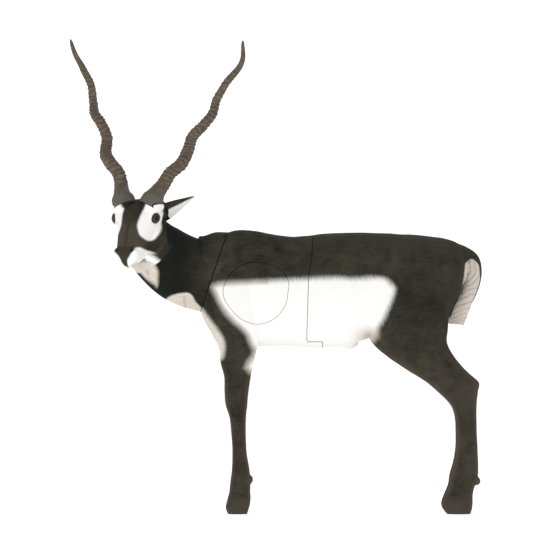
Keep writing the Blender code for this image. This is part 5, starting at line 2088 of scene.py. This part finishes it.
@dataclass(frozen=True)
class Tail:
    """The cream locks of the tail. They stand out of the rump's skin only inside their patch."""

    steps: int = 300
    sides: int = 220
    length: float = 0.26
    lock: float = 0.0130
    depth: float = 0.0022
    proud: float = 0.0030
    sunk: float = 0.0025

    def build(self) -> bpy.types.Object:
        """Builds the tail.

        The locks are ridges whose direction turns from upright at the root to a slant at the tip. Their
        height is the absolute value of a sine, so that they have round backs and sharp grooves.

        Returns:
            The piece.
        """
        skin, offset, across = tail_ovals(self.steps, self.sides)
        t = np.linspace(0, 1, self.steps)[:, None]
        lean = np.radians(10 + 36 * soft_step(t, 0.25, 0.60))
        run = np.cumsum(np.sin(lean), axis=0) * self.length / self.steps
        flat = skin.reshape(-1, 3)
        warp = Ripple(0.050, 31).at(flat).reshape(offset.shape)
        phase = (offset * np.cos(lean) - run) / self.lock + 0.30 * warp + 0.2 * across[None, :]
        coarse = np.abs(np.sin(math.pi * phase))
        fine = np.abs(np.sin(math.pi * (3.1 * phase + 0.6 * Ripple(0.02, 33).at(flat).reshape(offset.shape))))
        crest = 0.7 * coarse**0.6 + 0.3 * fine
        patch = signed_distance(flat[:, [0, 2]], TAIL_PATCH).reshape(offset.shape)
        inside = soft_step(patch, -0.0030, 0.0022)
        height = inside * (self.proud + self.depth * (crest - 0.75)) - (1 - inside) * self.sunk
        middle = skin.mean(1, keepdims=True)
        ring = (skin - middle) / np.linalg.norm(skin - middle, axis=-1, keepdims=True)
        foam = Foam(Shell.loft(skin + height[..., None] * ring).mesh("tail"))
        line = np.exp(-(((patch - 0.0048) / 0.0013) ** 2)) * (offset > 0) * soft_step(-t, -0.80, -0.60)
        rim = soft_step(-patch, -0.0040, -0.0020)
        ends = [0.0, 0.0]
        fields = {
            "crest": np.concatenate([(crest + 0.5 * rim).ravel(), ends]),
            "line": np.concatenate([line.ravel(), ends]),
        }
        piece = piece_of("tail_locks", foam, fields, TailFinish().build())
        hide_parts("tail")
        return piece


@dataclass(frozen=True)
class Studio:
    """Camera, light and a pale floor that curves up far away on every side."""

    frame_width: float = 1.5714
    distance: float = 16.0
    height: float = 0.68
    floor_radius: float = 24.0
    wall_radius: float = 34.0
    wall_height: float = 16.0
    floor: Paint = Paint(0.90, 0.90, 0.90)
    glow: float = 0.56

    def place_camera(self) -> None:
        """A long lens square to the left flank, as in the photograph."""
        camera = bpy.data.cameras.new("camera")
        camera.sensor_width = 36.0
        camera.lens = camera.sensor_width * self.distance / self.frame_width
        camera.clip_end = 200.0
        holder = bpy.data.objects.new("camera", camera)
        holder.location = (SHIFT[0], SHIFT[1] - self.distance, self.height)
        holder.rotation_euler = (math.pi / 2, 0.0, 0.0)
        bpy.context.scene.collection.objects.link(holder)
        bpy.context.scene.camera = holder

    def lay_floor(self) -> None:
        """A dish: flat to its radius, then rising by 1 minus the cosine of a quarter turn."""
        flat = np.linspace(0.5, self.floor_radius, 24)
        turn = np.linspace(0, math.pi / 2, 24)[1:]
        reach = np.concatenate([flat, self.floor_radius + (self.wall_radius - self.floor_radius) * np.sin(turn)])
        rise = np.concatenate([np.zeros(24), self.wall_height * (1 - np.cos(turn))])
        sides = 96
        angle = np.linspace(0, 2 * math.pi, sides, endpoint=False)
        x, y = reach[:, None] * np.cos(angle), reach[:, None] * np.sin(angle)
        points = np.stack([x, y, np.repeat(rise[:, None], sides, axis=1)], -1).reshape(-1, 3)
        count = len(reach)
        row = np.arange(count - 1)[:, None] * sides
        here = np.arange(sides)[None, :]
        after = (here + 1) % sides
        quads = np.stack([row + here, row + sides + here, row + sides + after, row + after], -1).reshape(-1, 4)
        middle = count * sides
        fan = np.stack([np.full(sides, middle), here[0], after[0]], -1)
        mesh = bpy.data.meshes.new("floor")
        mesh.from_pydata(np.vstack([points, [(0, 0, 0)]]).tolist(), [], quads.tolist() + fan.tolist())
        mesh.shade_smooth()
        g = Graph("pale_floor")
        base = g.mixed(g.noise(0.4) * 0.02, self.floor, Paint(0.86, 0.86, 0.86))
        mesh.materials.append(g.finish(base, 0.9, None, Emission_Strength=self.glow, Specular_IOR_Level=0.0))
        floor = bpy.data.objects.new("floor", mesh)
        bpy.context.scene.collection.objects.link(floor)

    def light(self) -> None:
        """A bright even sky, a large soft key from the upper left and a weak fill."""
        world = bpy.data.worlds.new("studio")
        world.use_nodes = True
        background = world.node_tree.nodes["Background"]
        background.inputs["Color"].default_value = (1.0, 1.0, 1.0, 1.0)
        background.inputs["Strength"].default_value = 0.35
        bpy.context.scene.world = world
        for name, place, size, power in (
            ("key", (-3.0, -6.0, 5.0), 4.0, 105.0),
            ("fill", (4.5, -6.0, 2.5), 5.0, 12.0),
            ("back", (0.5, 5.0, 5.0), 4.0, 60.0),
        ):
            lamp = bpy.data.lights.new(name, "AREA")
            lamp.shape = "DISK"
            lamp.size = size
            lamp.energy = power
            holder = bpy.data.objects.new(name, lamp)
            holder.location = place
            aim = Vector((0.0, 0.0, 0.6)) - Vector(place)
            holder.rotation_euler = aim.to_track_quat("-Z", "Y").to_euler()
            bpy.context.scene.collection.objects.link(holder)
        bpy.context.scene.view_settings.view_transform = "Standard"


def main() -> None:
    """Builds the studio and then the target, piece by piece."""
    logging.basicConfig(level=logging.INFO, format="%(name)s: %(message)s")
    studio = Studio()
    studio.place_camera()
    studio.lay_floor()
    studio.light()
    coat = CoatFinish().build()
    for assembly in (HeadAndNeck(coat), Body(coat), Tail()):
        made = assembly.build()
        log.info("%s is done", type(assembly).__name__)
        del made


if __name__ == "__main__":
    main()
